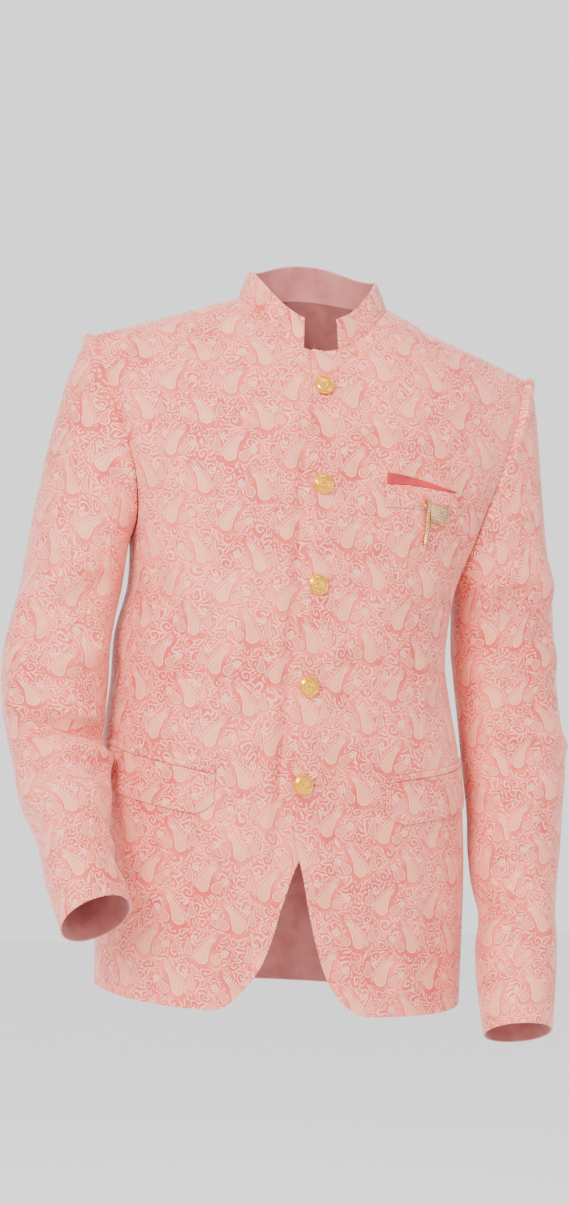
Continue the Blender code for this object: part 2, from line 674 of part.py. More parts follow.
def make_mesh(name, points, faces, finish):
    """Make one closed body from points in millimetres."""
    mesh = bpy.data.meshes.new(name)
    mesh.from_pydata((np.asarray(points) * MM).tolist(), [], faces)
    mesh.update()
    shape = bmesh.new()
    shape.from_mesh(mesh)
    bmesh.ops.triangulate(shape, faces=shape.faces)
    bmesh.ops.recalc_face_normals(shape, faces=shape.faces)
    shape.to_mesh(mesh)
    shape.free()
    mesh.shade_smooth()
    mesh.set_sharp_from_angle(angle=math.radians(40))
    item = bpy.data.objects.new(name, mesh)
    bpy.context.scene.collection.objects.link(item)
    item.data.materials.append(material(finish))
    return item


def material(finish):
    """Get the material of a finish, made on its first use."""
    found = bpy.data.materials.get(finish.name)
    if found:
        return found
    made = bpy.data.materials.new(finish.name)
    made.use_nodes = True
    shader = made.node_tree.nodes["Principled BSDF"]
    shader.inputs["Base Color"].default_value = finish.colour
    shader.inputs["Roughness"].default_value = finish.roughness
    shader.inputs["Metallic"].default_value = finish.metallic
    return made


def wall(name, outer, inner, finish):
    """Close a grid of outer points and a grid of inner points into one thin body."""
    rows, columns = outer.shape[:2]
    count = rows * columns
    points = np.concatenate([outer.reshape(-1, 3), inner.reshape(-1, 3)])

    def at(row, column, layer=0):
        return layer * count + row * columns + column

    faces = []
    for row in range(rows - 1):
        for column in range(columns - 1):
            cell = ((row, column), (row, column + 1), (row + 1, column + 1), (row + 1, column))
            faces.append([at(*corner) for corner in cell])
            faces.append([at(*corner, layer=1) for corner in reversed(cell)])
    edge = ([(0, column) for column in range(columns - 1)]
            + [(row, columns - 1) for row in range(rows - 1)]
            + [(rows - 1, column) for column in range(columns - 1, 0, -1)]
            + [(row, 0) for row in range(rows - 1, 0, -1)])
    for here, following in zip(edge, edge[1:] + edge[:1]):
        faces.append([at(*following), at(*here), at(*here, layer=1), at(*following, layer=1)])
    return make_mesh(name, points, faces, finish)


def body_wall(name, side, girth, place, finish=BROCADE, lift=0.0, thickness=CLOTH):
    """Make a piece of the body, moved out by its lift."""
    out = body_frame(side, girth, place)[2]
    outer = body(side, girth, place) + out * np.asarray(lift)[..., None]
    return wall(name, outer, outer - out * thickness, finish)


def make_body():
    """Make the two fronts, side panels and backs."""
    for side, word in ((RIGHT, "right"), (LEFT, "left")):
        girth, place = front_grid(side)
        body_wall("front_" + word, side, girth, place, lift=front_lift(side, girth, place))
        body_wall("side_" + word, side, *side_grid())
        body_wall("back_" + word, side, *back_grid())


def sleeve_turns():
    """Turns of the upper and the under sleeve's columns, which match the armhole's corners."""
    front, back, side = armhole_turns(False), armhole_turns(True), side_turns()
    upper = np.concatenate([front[ARMHOLE_LOW_STEPS:], 360 - back[::-1][1:]])
    upper = upper[:len(upper) - ARMHOLE_LOW_STEPS]
    under = np.concatenate([-back[:ARMHOLE_LOW_STEPS + 1][::-1], side[::-1][1:],
                            front[1:ARMHOLE_LOW_STEPS + 1]])
    return upper, under


def make_sleeves():
    """Make the upper and the under piece of each sleeve."""
    half_gap = math.degrees(SEAM / 2 / FOLD_RADIUS) * SLEEVE_GAP_WIDEN
    upper, under = sleeve_turns()
    for side, word in ((RIGHT, "right"), (LEFT, "left")):
        last = SLEEVES[side][-1].reach
        reach = np.concatenate([edge_steps(-SLEEVE_HEAD, 0.0, SLEEVE_HEAD_ROWS),
                                np.linspace(0.0, last, SLEEVE_ROWS)])
        for part, turns in (("upper", upper), ("under", under)):
            turns = turns.copy()
            turns[0] += half_gap
            turns[-1] -= half_gap
            points, out = sleeve(side, turns[None, :], reach[:, None])
            wall(f"sleeve_{part}_{word}", points, points - out * CLOTH, BROCADE)


def collar_base():
    """Points round the neckline from the right front end to the left front end."""
    front, back = neck_turns(0.0, back=False)[1:], neck_turns(0.0, back=True)
    points, outs, angles = [], [], []
    for side in (RIGHT, LEFT):
        quarter = []
        for around, behind in ((front, False), (back[:-1][::-1], True)):
            girth, place = neckline(around, behind)
            out = body_frame(side, girth, place)[2]
            lift = np.zeros(len(girth)) if behind else front_lift(side, girth, place)
            turn = 180 - around if behind else around
            edge = body(side, girth, place) + out * lift[:, None]
            quarter += list(zip(edge, out, turn if side == RIGHT else 360 - turn))
        quarter = quarter if side == RIGHT else quarter[::-1][1:]
        for point, out, turn in quarter:
            points.append(point)
            outs.append(out)
            angles.append(turn)
    return np.array(points), np.array(outs), np.array(angles)


def make_collar():
    """Make the stand collar, open in front."""
    base, body_out, angles = collar_base()
    angles = np.radians(angles)
    along = unit(np.gradient(base, axis=0))
    inward = unit(-base * np.array([1.0, 1.0, 0.0]))
    beyond = unit(np.cross(along, body_out))
    beyond = beyond * np.sign(np.sum(beyond * (inward + [0, 0, 1.0]), axis=-1, keepdims=True))
    sideways = np.abs(np.sin(angles))
    middle = np.where(np.cos(angles) > 0, COLLAR_FRONT_HEIGHT, COLLAR_BACK_HEIGHT)
    height = middle + (COLLAR_SIDE_HEIGHT - middle) * sideways ** 2
    lean = COLLAR_LEAN * sideways + COLLAR_MIDDLE_LEAN * (1 - sideways)
    rise = np.stack([inward[:, 0] * lean, inward[:, 1] * lean, height], axis=-1)
    foot = base + unit(beyond + unit(rise)) * COLLAR_SEAM
    steps = np.linspace(0.0, 1.0, COLLAR_UP)[:, None, None]
    outer = foot[None] + rise[None] * steps
    out = unit(np.cross(along, rise))
    out = out * -np.sign(np.sum(out * inward, axis=-1, keepdims=True))
    wall("collar", outer, outer - out[None] * COLLAR_CLOTH, BROCADE)


def patch(side, start, width, height, slant, depth, columns, rows):
    """Girth and place of a slanted patch on the body, from its lower to its upper edge."""
    along = np.linspace(0.0, width, columns)[None, :]
    down = depth * (1 - np.linspace(0.0, 1.0, rows)[:, None])
    heights = height + slant * along - down
    place = place_of_height(heights)
    girth = girth_at(side, place.ravel(), np.broadcast_to(start + along, place.shape).ravel())
    return girth.reshape(place.shape), place


def make_hip_pockets():
    """Make a narrow welt and a round-cornered flap for each hip pocket."""
    columns, rows = 12, 5
    for side, word in ((RIGHT, "right"), (LEFT, "left")):
        girth, place = patch(side, HIP_POCKET_START, HIP_POCKET_WIDTH, HIP_POCKET_HEIGHT,
                             HIP_POCKET_SLANT, WELT_WIDTH, columns, 2)
        body_wall("hip_welt_" + word, side, girth, place, thickness=TRIM_CLOTH,
                  lift=REST_GAP + TRIM_CLOTH)
        girth, place = patch(side, HIP_POCKET_START, HIP_POCKET_WIDTH,
                             HIP_POCKET_HEIGHT - WELT_WIDTH - FLAP_GAP, HIP_POCKET_SLANT,
                             FLAP_DEPTH, columns, rows)
        across = np.linspace(0.0, 1.0, columns)[None, :]
        down = 1 - np.linspace(0.0, 1.0, rows)[:, None]
        front_share = across * HIP_POCKET_WIDTH / FRONT_CORNER_WIDTH
        back_share = (1 - across) * HIP_POCKET_WIDTH / BACK_CORNER_WIDTH
        front_round = np.clip(1 - front_share, 0.0, 1.0) ** 2
        back_round = np.clip(1 - back_share, 0.0, 1.0) ** 2
        rounding = front_round * FRONT_CORNER_RISE + back_round * BACK_CORNER_RISE
        place = place + down * rounding / SKIRT
        body_wall("hip_flap_" + word, side, girth, place, thickness=TRIM_CLOTH,
                  lift=REST_GAP + TRIM_CLOTH)


def make_breast_pocket():
    """Make the breast welt and the folded square that stands out of the pocket."""
    girth, place = patch(LEFT, BREAST_START, BREAST_WIDTH, BREAST_HEIGHT, BREAST_SLANT,
                         BREAST_DEPTH, 7, 3)
    body_wall("breast_welt", LEFT, girth, place, lift=REST_GAP + TRIM_CLOTH,
              thickness=TRIM_CLOTH)
    columns = 6
    along = np.linspace(0.0, SQUARE_SHARE, columns)[None, :] * BREAST_WIDTH
    top = SQUARE_RISE * (1 - along / BREAST_WIDTH) + SQUARE_LOW_RISE
    share = np.linspace(0.0, 1.0, 3)[:, None]
    heights = BREAST_HEIGHT + FLAP_GAP + BREAST_SLANT * along + top * share
    place = place_of_height(heights)
    girth = girth_at(LEFT, place.ravel(),
                     np.broadcast_to(BREAST_START + SQUARE_START + along, place.shape).ravel())
    body_wall("pocket_square", LEFT, girth.reshape(place.shape), place, SATIN,
              lift=REST_GAP + SQUARE_CLOTH, thickness=SQUARE_CLOTH)


def make_buttons():
    """Make the five domed buttons, each on a shank."""
    turns = np.linspace(0, 2 * math.pi, BUTTON_SIDES, endpoint=False)
    for number, height in enumerate(BUTTON_HEIGHTS, start=1):
        place = place_of_height(height)
        along, up, out = body_frame(LEFT, 0.0, place)
        centre = body(LEFT, 0.0, place) + out * (OVERLAP_LIFT + BUTTON_REST)
        points, faces = [], []
        for corner in BUTTON_PROFILE:
            for turn in turns:
                flat = along * math.cos(turn) + up * math.sin(turn)
                points.append(centre + flat * corner.radius + out * corner.out)
        for ring in range(len(BUTTON_PROFILE) - 1):
            for step in range(BUTTON_SIDES):
                here = ring * BUTTON_SIDES + step
                following = ring * BUTTON_SIDES + (step + 1) % BUTTON_SIDES
                faces.append([here, following, following + BUTTON_SIDES, here + BUTTON_SIDES])
        faces.append(list(reversed(range(BUTTON_SIDES))))
        last = (len(BUTTON_PROFILE) - 1) * BUTTON_SIDES
        faces.append(list(range(last, last + BUTTON_SIDES)))
        make_mesh(f"button_{number}", points, faces, GOLD)


def make_brooch():
    """Make the brooch, a small axe with its handle down, bent to the cloth."""
    place = place_of_height(np.array([BROOCH_HEIGHT + corner.above for corner in BROOCH]))
    distance = np.array([BROOCH_PLACE + corner.across for corner in BROOCH])
    girth = girth_at(LEFT, place, distance)
    out = body_frame(LEFT, girth, place)[2]
    under = body(LEFT, girth, place) + out * BROOCH_REST
    points = np.concatenate([under, under + out * BROOCH_THICKNESS])
    count = len(BROOCH)
    faces = [list(range(count - 1, -1, -1)), list(range(count, 2 * count))]
    for step in range(count):
        following = (step + 1) % count
        faces.append([step, following, following + count, step + count])
    make_mesh("brooch", points, faces, GOLD)


def main():
    """Clear the scene and make every piece."""
    for item in list(bpy.data.objects):
        bpy.data.objects.remove(item)
    make_body()
    make_sleeves()
    make_collar()
    make_hip_pockets()
    make_breast_pocket()
    make_buttons()
    make_brooch()


main()
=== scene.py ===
"""Looks of a closed-neck brocade jacket that is worn with nobody in it.

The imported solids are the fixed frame.  Every cloth piece here is a finer shell on the same
surface as its solid, with the creases, seams and turned edges of sewn cloth, and with its own
UV map in metres so that the woven pattern follows the cloth.  The buttons and the brooch are
finer copies of their solids.

Tables and surfaces are in millimetres and become metres when a mesh is made.  +Z is up, the
front faces -Y and +X is the wearer's left.
"""
import logging
import math
from dataclasses import dataclass
from enum import Enum, IntEnum
from typing import NamedTuple, Sequence

import bmesh
import bpy
import numpy as np
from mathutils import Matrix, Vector

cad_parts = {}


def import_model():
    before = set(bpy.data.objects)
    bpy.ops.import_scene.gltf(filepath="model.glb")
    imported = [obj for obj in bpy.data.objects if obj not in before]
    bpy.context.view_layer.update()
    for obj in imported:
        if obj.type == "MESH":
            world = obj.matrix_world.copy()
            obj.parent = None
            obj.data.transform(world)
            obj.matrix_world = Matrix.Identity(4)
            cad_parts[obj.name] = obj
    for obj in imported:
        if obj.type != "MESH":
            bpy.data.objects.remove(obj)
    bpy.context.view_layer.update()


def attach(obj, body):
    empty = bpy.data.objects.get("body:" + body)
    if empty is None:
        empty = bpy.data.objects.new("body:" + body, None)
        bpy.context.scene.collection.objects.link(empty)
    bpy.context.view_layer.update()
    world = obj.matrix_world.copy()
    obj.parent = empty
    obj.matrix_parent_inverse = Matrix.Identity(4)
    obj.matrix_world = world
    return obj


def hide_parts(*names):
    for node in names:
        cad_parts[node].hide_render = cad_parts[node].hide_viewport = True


LOG = logging.getLogger("jacket")
MM = 0.001
BODY = "root"
NARROWEST_SHEET = 0.01
Array = np.ndarray


class Side(IntEnum):
    """The wearer's sides, as signs of X."""

    RIGHT = -1
    LEFT = 1

    @property
    def word(self) -> str:
        """Name of the side as the nodes spell it."""
        return self.name.lower()


class Edge(Enum):
    """How one edge of a cut piece is finished."""

    SEAM = "seam"
    TURNED = "turned"


class Level(NamedTuple):
    """One level ring of the body."""

    height: float
    tilt: float
    centre_x: float
    centre_y: float
    turn: float
    half_width: float
    front: float
    back: float


class ShoulderPoint(NamedTuple):
    """Height of the shoulder line at one distance from the neck."""

    x: float
    height: float


class ArmholePoint(NamedTuple):
    """One place round the armhole, for both the front and the back edge."""

    turn: float
    rise: float
    front: float
    back: float


class FrontEdge(NamedTuple):
    """Distance of each front's edge from the centre line, at one height."""

    height: float
    left: float
    right: float


class SleeveSection(NamedTuple):
    """One section of a sleeve, across from its outer to its inner edge."""

    reach: float
    outer_x: float
    outer_z: float
    inner_x: float
    inner_z: float
    y: float
    half_depth: float


class Crease(NamedTuple):
    """A soft ridge, or a trough where its height is negative, between two places on the cloth.

    On the body the places are distances along the cloth from the centre front and up from the
    armpits.  On a sleeve they are degrees round the arm and the distance down it.
    """

    start_across: float
    start_up: float
    end_across: float
    end_up: float
    height: float
    width: float


class TurnedPoint(NamedTuple):
    """One corner of a turned profile."""

    radius: float
    out: float


class OutlinePoint(NamedTuple):
    """One corner of a flat outline, across and above its middle."""

    across: float
    above: float


class Stone(NamedTuple):
    """Place and size of one set stone."""

    across: float
    above: float
    size: float


LEVELS = (
    Level(-720, 0.062, -36, 8, 0, 186, 124, 116),
    Level(-630, 0.062, -33, 9, -3, 187, 130, 118),
    Level(-560, 0.063, -30, 10, -5, 186, 136, 118),
    Level(-500, 0.065, -30, 10, -2, 184, 140, 115),
    Level(-450, 0.066, -31, 10, 1, 181, 141, 110),
    Level(-400, 0.078, -32, 9, 6, 173, 140, 105),
    Level(-355, 0.100, -33, 8, 8, 168, 140, 102),
    Level(-310, 0.130, -25, 6, 7, 163, 139, 105),
    Level(-268, 0.153, -20, 4, 4, 166, 135, 110),
    Level(-200, 0.153, -11, 2, 0, 186, 133, 112),
    Level(-130, 0.153, -6, 0, 0, 209, 130, 112),
    Level(-60, 0.153, -4, 0, 0, 228, 128, 112),
    Level(0, 0.153, 0, 0, 0, 236, 127, 112),
)
SHOULDER_LINE = (
    ShoulderPoint(-260, -44), ShoulderPoint(-224, -34), ShoulderPoint(-150, -15),
    ShoulderPoint(-75, 5), ShoulderPoint(0, 3), ShoulderPoint(78, -5),
    ShoulderPoint(123, -29), ShoulderPoint(170, -50), ShoulderPoint(215, -71),
    ShoulderPoint(260, -92),
)
ARMHOLE = (
    ArmholePoint(0, 0.0, 0.500, 0.500),
    ArmholePoint(20, 0.030, 0.455, 0.548),
    ArmholePoint(45, 0.130, 0.405, 0.600),
    ArmholePoint(70, 0.300, 0.372, 0.632),
    ArmholePoint(90, 0.470, 0.362, 0.642),
    ArmholePoint(120, 0.730, 0.364, 0.638),
    ArmholePoint(150, 0.920, 0.370, 0.632),
    ArmholePoint(180, 1.0, 0.376, 0.624),
)
FRONT_EDGES = (
    FrontEdge(-697, 46, 59),
    FrontEdge(-686, 37, 49),
    FrontEdge(-670, 29, 37),
    FrontEdge(-642, 20, 25),
    FrontEdge(-604, 11, 14),
    FrontEdge(-580, 6, 6),
    FrontEdge(-556, 0, -2),
    FrontEdge(-532, -5, -9),
    FrontEdge(-500, -9, -13),
    FrontEdge(-460, -10, -14),
    FrontEdge(-300, -11, -14),
    FrontEdge(-48, -11, -14),
)
RIGHT_SLEEVE = (
    SleeveSection(0, -290, -244, -199, -300, -6, 62),
    SleeveSection(33, -299, -288, -205, -326, -12, 60),
    SleeveSection(64, -310, -325, -209, -350, -18, 58),
    SleeveSection(98, -317, -361, -211, -381, -22, 56),
    SleeveSection(139, -318, -404, -215, -418, -28, 55),
    SleeveSection(175, -312, -441, -218, -443, -36, 53),
    SleeveSection(206, -307, -472, -214, -465, -50, 51),
    SleeveSection(241, -303, -496, -212, -495, -68, 50),
    SleeveSection(274, -293, -516, -216, -524, -88, 49),
    SleeveSection(308, -286, -546, -219, -546, -108, 48),
    SleeveSection(335, -283, -572, -213, -562, -124, 47),
    SleeveSection(365, -275, -601, -205, -578, -141, 46),
    SleeveSection(387, -270, -620, -202, -594, -152, 45),
)
LEFT_SLEEVE = (
    SleeveSection(0, 247, -262, 150, -346, 14, 62),
    SleeveSection(27, 253, -305, 150, -364, 16, 60),
    SleeveSection(52, 254, -334, 152, -386, 16, 59),
    SleeveSection(100, 258, -394, 155, -420, 14, 57),
    SleeveSection(140, 262, -441, 157, -454, 8, 55),
    SleeveSection(173, 264, -475, 159, -484, 2, 54),
    SleeveSection(214, 259, -518, 161, -521, -6, 52),
    SleeveSection(254, 254, -558, 160, -557, -16, 51),
    SleeveSection(290, 248, -592, 162, -591, -27, 50),
    SleeveSection(317, 244, -618, 167, -616, -35, 49),
    SleeveSection(354, 243, -652, 161, -651, -47, 48),
    SleeveSection(385, 240, -681, 160, -680, -57, 47),
    SleeveSection(415, 236, -708, 161, -710, -67, 46),
    SleeveSection(443, 231, -737, 163, -735, -77, 45),
)
SLEEVES = {Side.RIGHT: RIGHT_SLEEVE, Side.LEFT: LEFT_SLEEVE}

SLEEVE_CREASES = {
    Side.RIGHT: (
        Crease(40, -40, 165, 62, 5.0, 13), Crease(50, 2, 150, 92, -5.0, 12),
        Crease(20, 60, 160, 128, 4.5, 13), Crease(30, 150, 170, 142, 6.0, 14),
        Crease(10, 188, 140, 176, -7.5, 14), Crease(-5, 205, 120, 212, 5.5, 12),
        Crease(20, 238, 165, 232, -5.0, 11), Crease(40, 262, 180, 258, 4.5, 12),
        Crease(150, 286, 215, 284, -5.0, 10), Crease(-20, 318, 60, 300, 3.5, 11),
        Crease(200, 150, 300, 200, -4.5, 16), Crease(215, 30, 330, 60, 4.0, 18),
        Crease(60, -95, 130, -10, -1.6, 8), Crease(85, -60, 120, 40, 1.2, 7),
        Crease(45, 168, 115, 160, -2.4, 6), Crease(70, 196, 150, 198, 1.8, 6),
        Crease(25, 222, 95, 226, -1.8, 6), Crease(90, 300, 150, 330, 1.2, 7),
        Crease(30, 335, 100, 345, -1.2, 7),
    ),
    Side.LEFT: (
        Crease(40, -70, 160, 22, 5.0, 13), Crease(45, -30, 150, 60, -4.5, 13),
        Crease(60, 40, 170, 80, 3.5, 14), Crease(60, 130, 175, 158, 4.5, 12),
        Crease(55, 152, 170, 178, -4.5, 11), Crease(20, 190, 150, 200, 3.5, 14),
        Crease(10, 250, 120, 268, 3.5, 14), Crease(0, 318, 110, 330, -4.0, 12),
        Crease(20, 345, 150, 352, 3.5, 12), Crease(200, 150, 300, 190, -4.5, 16),
        Crease(215, 30, 330, 60, 4.0, 18),
        Crease(50, -60, 105, 12, -1.8, 7), Crease(70, 95, 140, 120, 1.4, 7),
        Crease(40, 215, 110, 236, -1.6, 7), Crease(60, 285, 130, 298, 1.4, 7),
        Crease(30, 375, 100, 392, -1.2, 7),
    ),
}
BODY_CREASES = {
    Side.RIGHT: (
        Crease(178, 6, 96, -70, 3.4, 13), Crease(186, -22, 118, -110, -2.8, 11),
        Crease(196, -70, 120, -132, 2.4, 12), Crease(205, -125, 130, -160, -2.2, 11),
        Crease(190, 60, 120, 20, -2.2, 13), Crease(150, 120, 60, 150, 1.6, 20),
        Crease(16, 150, 19, -320, -12.0, 7),
        Crease(60, -40, 30, -190, -1.8, 16), Crease(90, -250, 60, -400, 2.0, 20),
        Crease(150, -270, 160, -410, -1.8, 20), Crease(22, -60, 36, -250, 1.4, 12),
        Crease(360, 60, 420, -60, 2.6, 18), Crease(300, 0, 380, -120, -2.6, 18),
        Crease(330, -180, 440, -150, -2.4, 16), Crease(340, -300, 360, -420, 2.4, 22),
        Crease(400, 140, 330, 200, 2.0, 22),
    ),
    Side.LEFT: (
        Crease(176, 30, 104, -18, 3.0, 12), Crease(184, 4, 120, -52, -2.8, 11),
        Crease(190, -50, 110, -92, 2.6, 12), Crease(196, -92, 120, -140, -2.4, 12),
        Crease(186, 80, 130, 60, -2.0, 13), Crease(130, 150, 50, 120, 1.6, 20),
        Crease(40, -80, 90, -210, -1.6, 16), Crease(70, -260, 60, -410, 2.0, 20),
        Crease(150, -260, 150, -420, -2.0, 20), Crease(110, -300, 100, -430, 1.6, 14),
        Crease(360, 70, 420, -40, 2.4, 18), Crease(300, -10, 372, -110, -2.8, 18),
        Crease(330, -170, 440, -190, -2.4, 16), Crease(330, -290, 372, -420, 2.4, 22),
        Crease(390, 150, 330, 210, 2.0, 22),
    ),
}

BUTTON_HEIGHTS = (-93.0, -190.0, -288.5, -387.5, -483.5)
BUTTON_PROFILE = (
    TurnedPoint(0.0, 0.0), TurnedPoint(3.5, 0.0), TurnedPoint(3.5, 1.6), TurnedPoint(8.9, 1.75),
    TurnedPoint(9.8, 2.1), TurnedPoint(10.2, 2.8), TurnedPoint(10.1, 3.4), TurnedPoint(9.6, 3.95),
    TurnedPoint(9.0, 4.05), TurnedPoint(8.5, 3.7), TurnedPoint(8.1, 3.75), TurnedPoint(7.6, 4.25),
    TurnedPoint(6.6, 4.75), TurnedPoint(6.1, 4.6), TurnedPoint(5.6, 4.7), TurnedPoint(3.6, 5.2),
    TurnedPoint(1.6, 5.45), TurnedPoint(0.0, 5.5),
)
BLADE = (
    OutlinePoint(3, -19), OutlinePoint(7, -20.5), OutlinePoint(13, -20), OutlinePoint(18, -22),
    OutlinePoint(22, -15.5), OutlinePoint(24.5, -9), OutlinePoint(25, 2), OutlinePoint(17, 0),
    OutlinePoint(8, -2), OutlinePoint(2.5, -3),
)
SPIKE = (
    OutlinePoint(-2.4, -3.4), OutlinePoint(-8.5, -6.4), OutlinePoint(-5.0, -7.6),
    OutlinePoint(-2.4, -10.5),
)
HANDLE_PROFILE = (
    TurnedPoint(0.0, -46.0), TurnedPoint(2.2, -45.8), TurnedPoint(2.8, -44.6),
    TurnedPoint(2.2, -43.4), TurnedPoint(1.9, -42.6), TurnedPoint(2.0, -30.0),
    TurnedPoint(2.1, -22.0), TurnedPoint(2.9, -21.2), TurnedPoint(2.9, -19.8),
    TurnedPoint(2.2, -19.0), TurnedPoint(2.3, -1.4), TurnedPoint(2.9, -0.6),
    TurnedPoint(2.4, 0.8), TurnedPoint(0.0, 1.5),
)


def smooth(rows: Sequence[NamedTuple], key: str, column: str, at: Array) -> Array:
    """Read one column of a table on a smooth curve through its rows.

    Args:
        rows: Table rows in the order of their key.
        key: Column that is looked up.
        column: Column that is read.
        at: Places to look up, kept within the table.

    Returns:
        The column's values at those places.
    """
    keys = np.array([getattr(row, key) for row in rows], dtype=float)
    values = np.array([getattr(row, column) for row in rows], dtype=float)
    slopes = np.gradient(values, keys)
    at = np.clip(at, keys[0], keys[-1])
    index = np.clip(np.searchsorted(keys, at, side="right") - 1, 0, len(keys) - 2)
    span = keys[index + 1] - keys[index]
    t = (at - keys[index]) / span
    start = (1 + 2 * t) * (1 - t) ** 2 * values[index] + t * (1 - t) ** 2 * span * slopes[index]
    end = t * t * (3 - 2 * t) * values[index + 1] - t * t * (1 - t) * span * slopes[index + 1]
    return start + end


def ease(value: Array) -> Array:
    """Go smoothly from 0 to 1 as the value does."""
    value = np.clip(value, 0.0, 1.0)
    return value * value * (3 - 2 * value)


def unit(vectors: Array) -> Array:
    """Scale vectors to length 1."""
    length = np.linalg.norm(vectors, axis=-1, keepdims=True)
    return vectors / np.maximum(length, 1e-12)


def power(value: Array, exponent: float) -> Array:
    """Raise the size of a signed number to a power and keep its sign."""
    return np.sign(value) * np.abs(value) ** exponent


def running_length(points: Array, axis: int) -> Array:
    """Distance run along one axis of a grid of points, starting at 0."""
    steps = np.linalg.norm(np.diff(points, axis=axis), axis=-1)
    start = np.zeros_like(np.take(steps, [0], axis=axis))
    return np.concatenate([start, np.cumsum(steps, axis=axis)], axis=axis)


def read_grid(grid: Array, rows: Array, columns: Array) -> Array:
    """Read a grid between its points.

    Args:
        grid: Values on whole rows and columns.
        rows: Row places, which may lie between whole rows.
        columns: Column places.

    Returns:
        The values at those places, of the places' own shape.
    """
    row = np.clip(np.floor(rows).astype(int), 0, grid.shape[0] - 2)
    column = np.clip(np.floor(columns).astype(int), 0, grid.shape[1] - 2)
    down, along = rows - row, columns - column
    near = grid[row, column] * (1 - along) + grid[row, column + 1] * along
    far = grid[row + 1, column] * (1 - along) + grid[row + 1, column + 1] * along
    return near * (1 - down) + far * down


def edge_steps(low: float, high: float, rows: int) -> Array:
    """Even steps from low to high without the last one."""
    return np.linspace(low, high, rows + 1)[:-1]


def crease_height(creases: Sequence[Crease], across: Array, up: Array, fade: float) -> Array:
    """Add up the creases at places on the cloth.

    Args:
        creases: The creases, in the same measures as the places.
        across: Places across the cloth.
        up: Places along the cloth.
        fade: Length over which a crease dies out at each end.

    Returns:
        How far the cloth stands out at each place.
    """
    total = np.zeros(np.broadcast(across, up).shape)
    for crease in creases:
        run_across = crease.end_across - crease.start_across
        run_up = crease.end_up - crease.start_up
        length = math.hypot(run_across, run_up)
        dx, dy = run_across / length, run_up / length
        px, py = across - crease.start_across, up - crease.start_up
        along, off = px * dx + py * dy, px * dy - py * dx
        ends = ease(along / fade) * ease((length - along) / fade)
        total = total + crease.height * ends * np.exp(-(off / crease.width) ** 2)
    return total


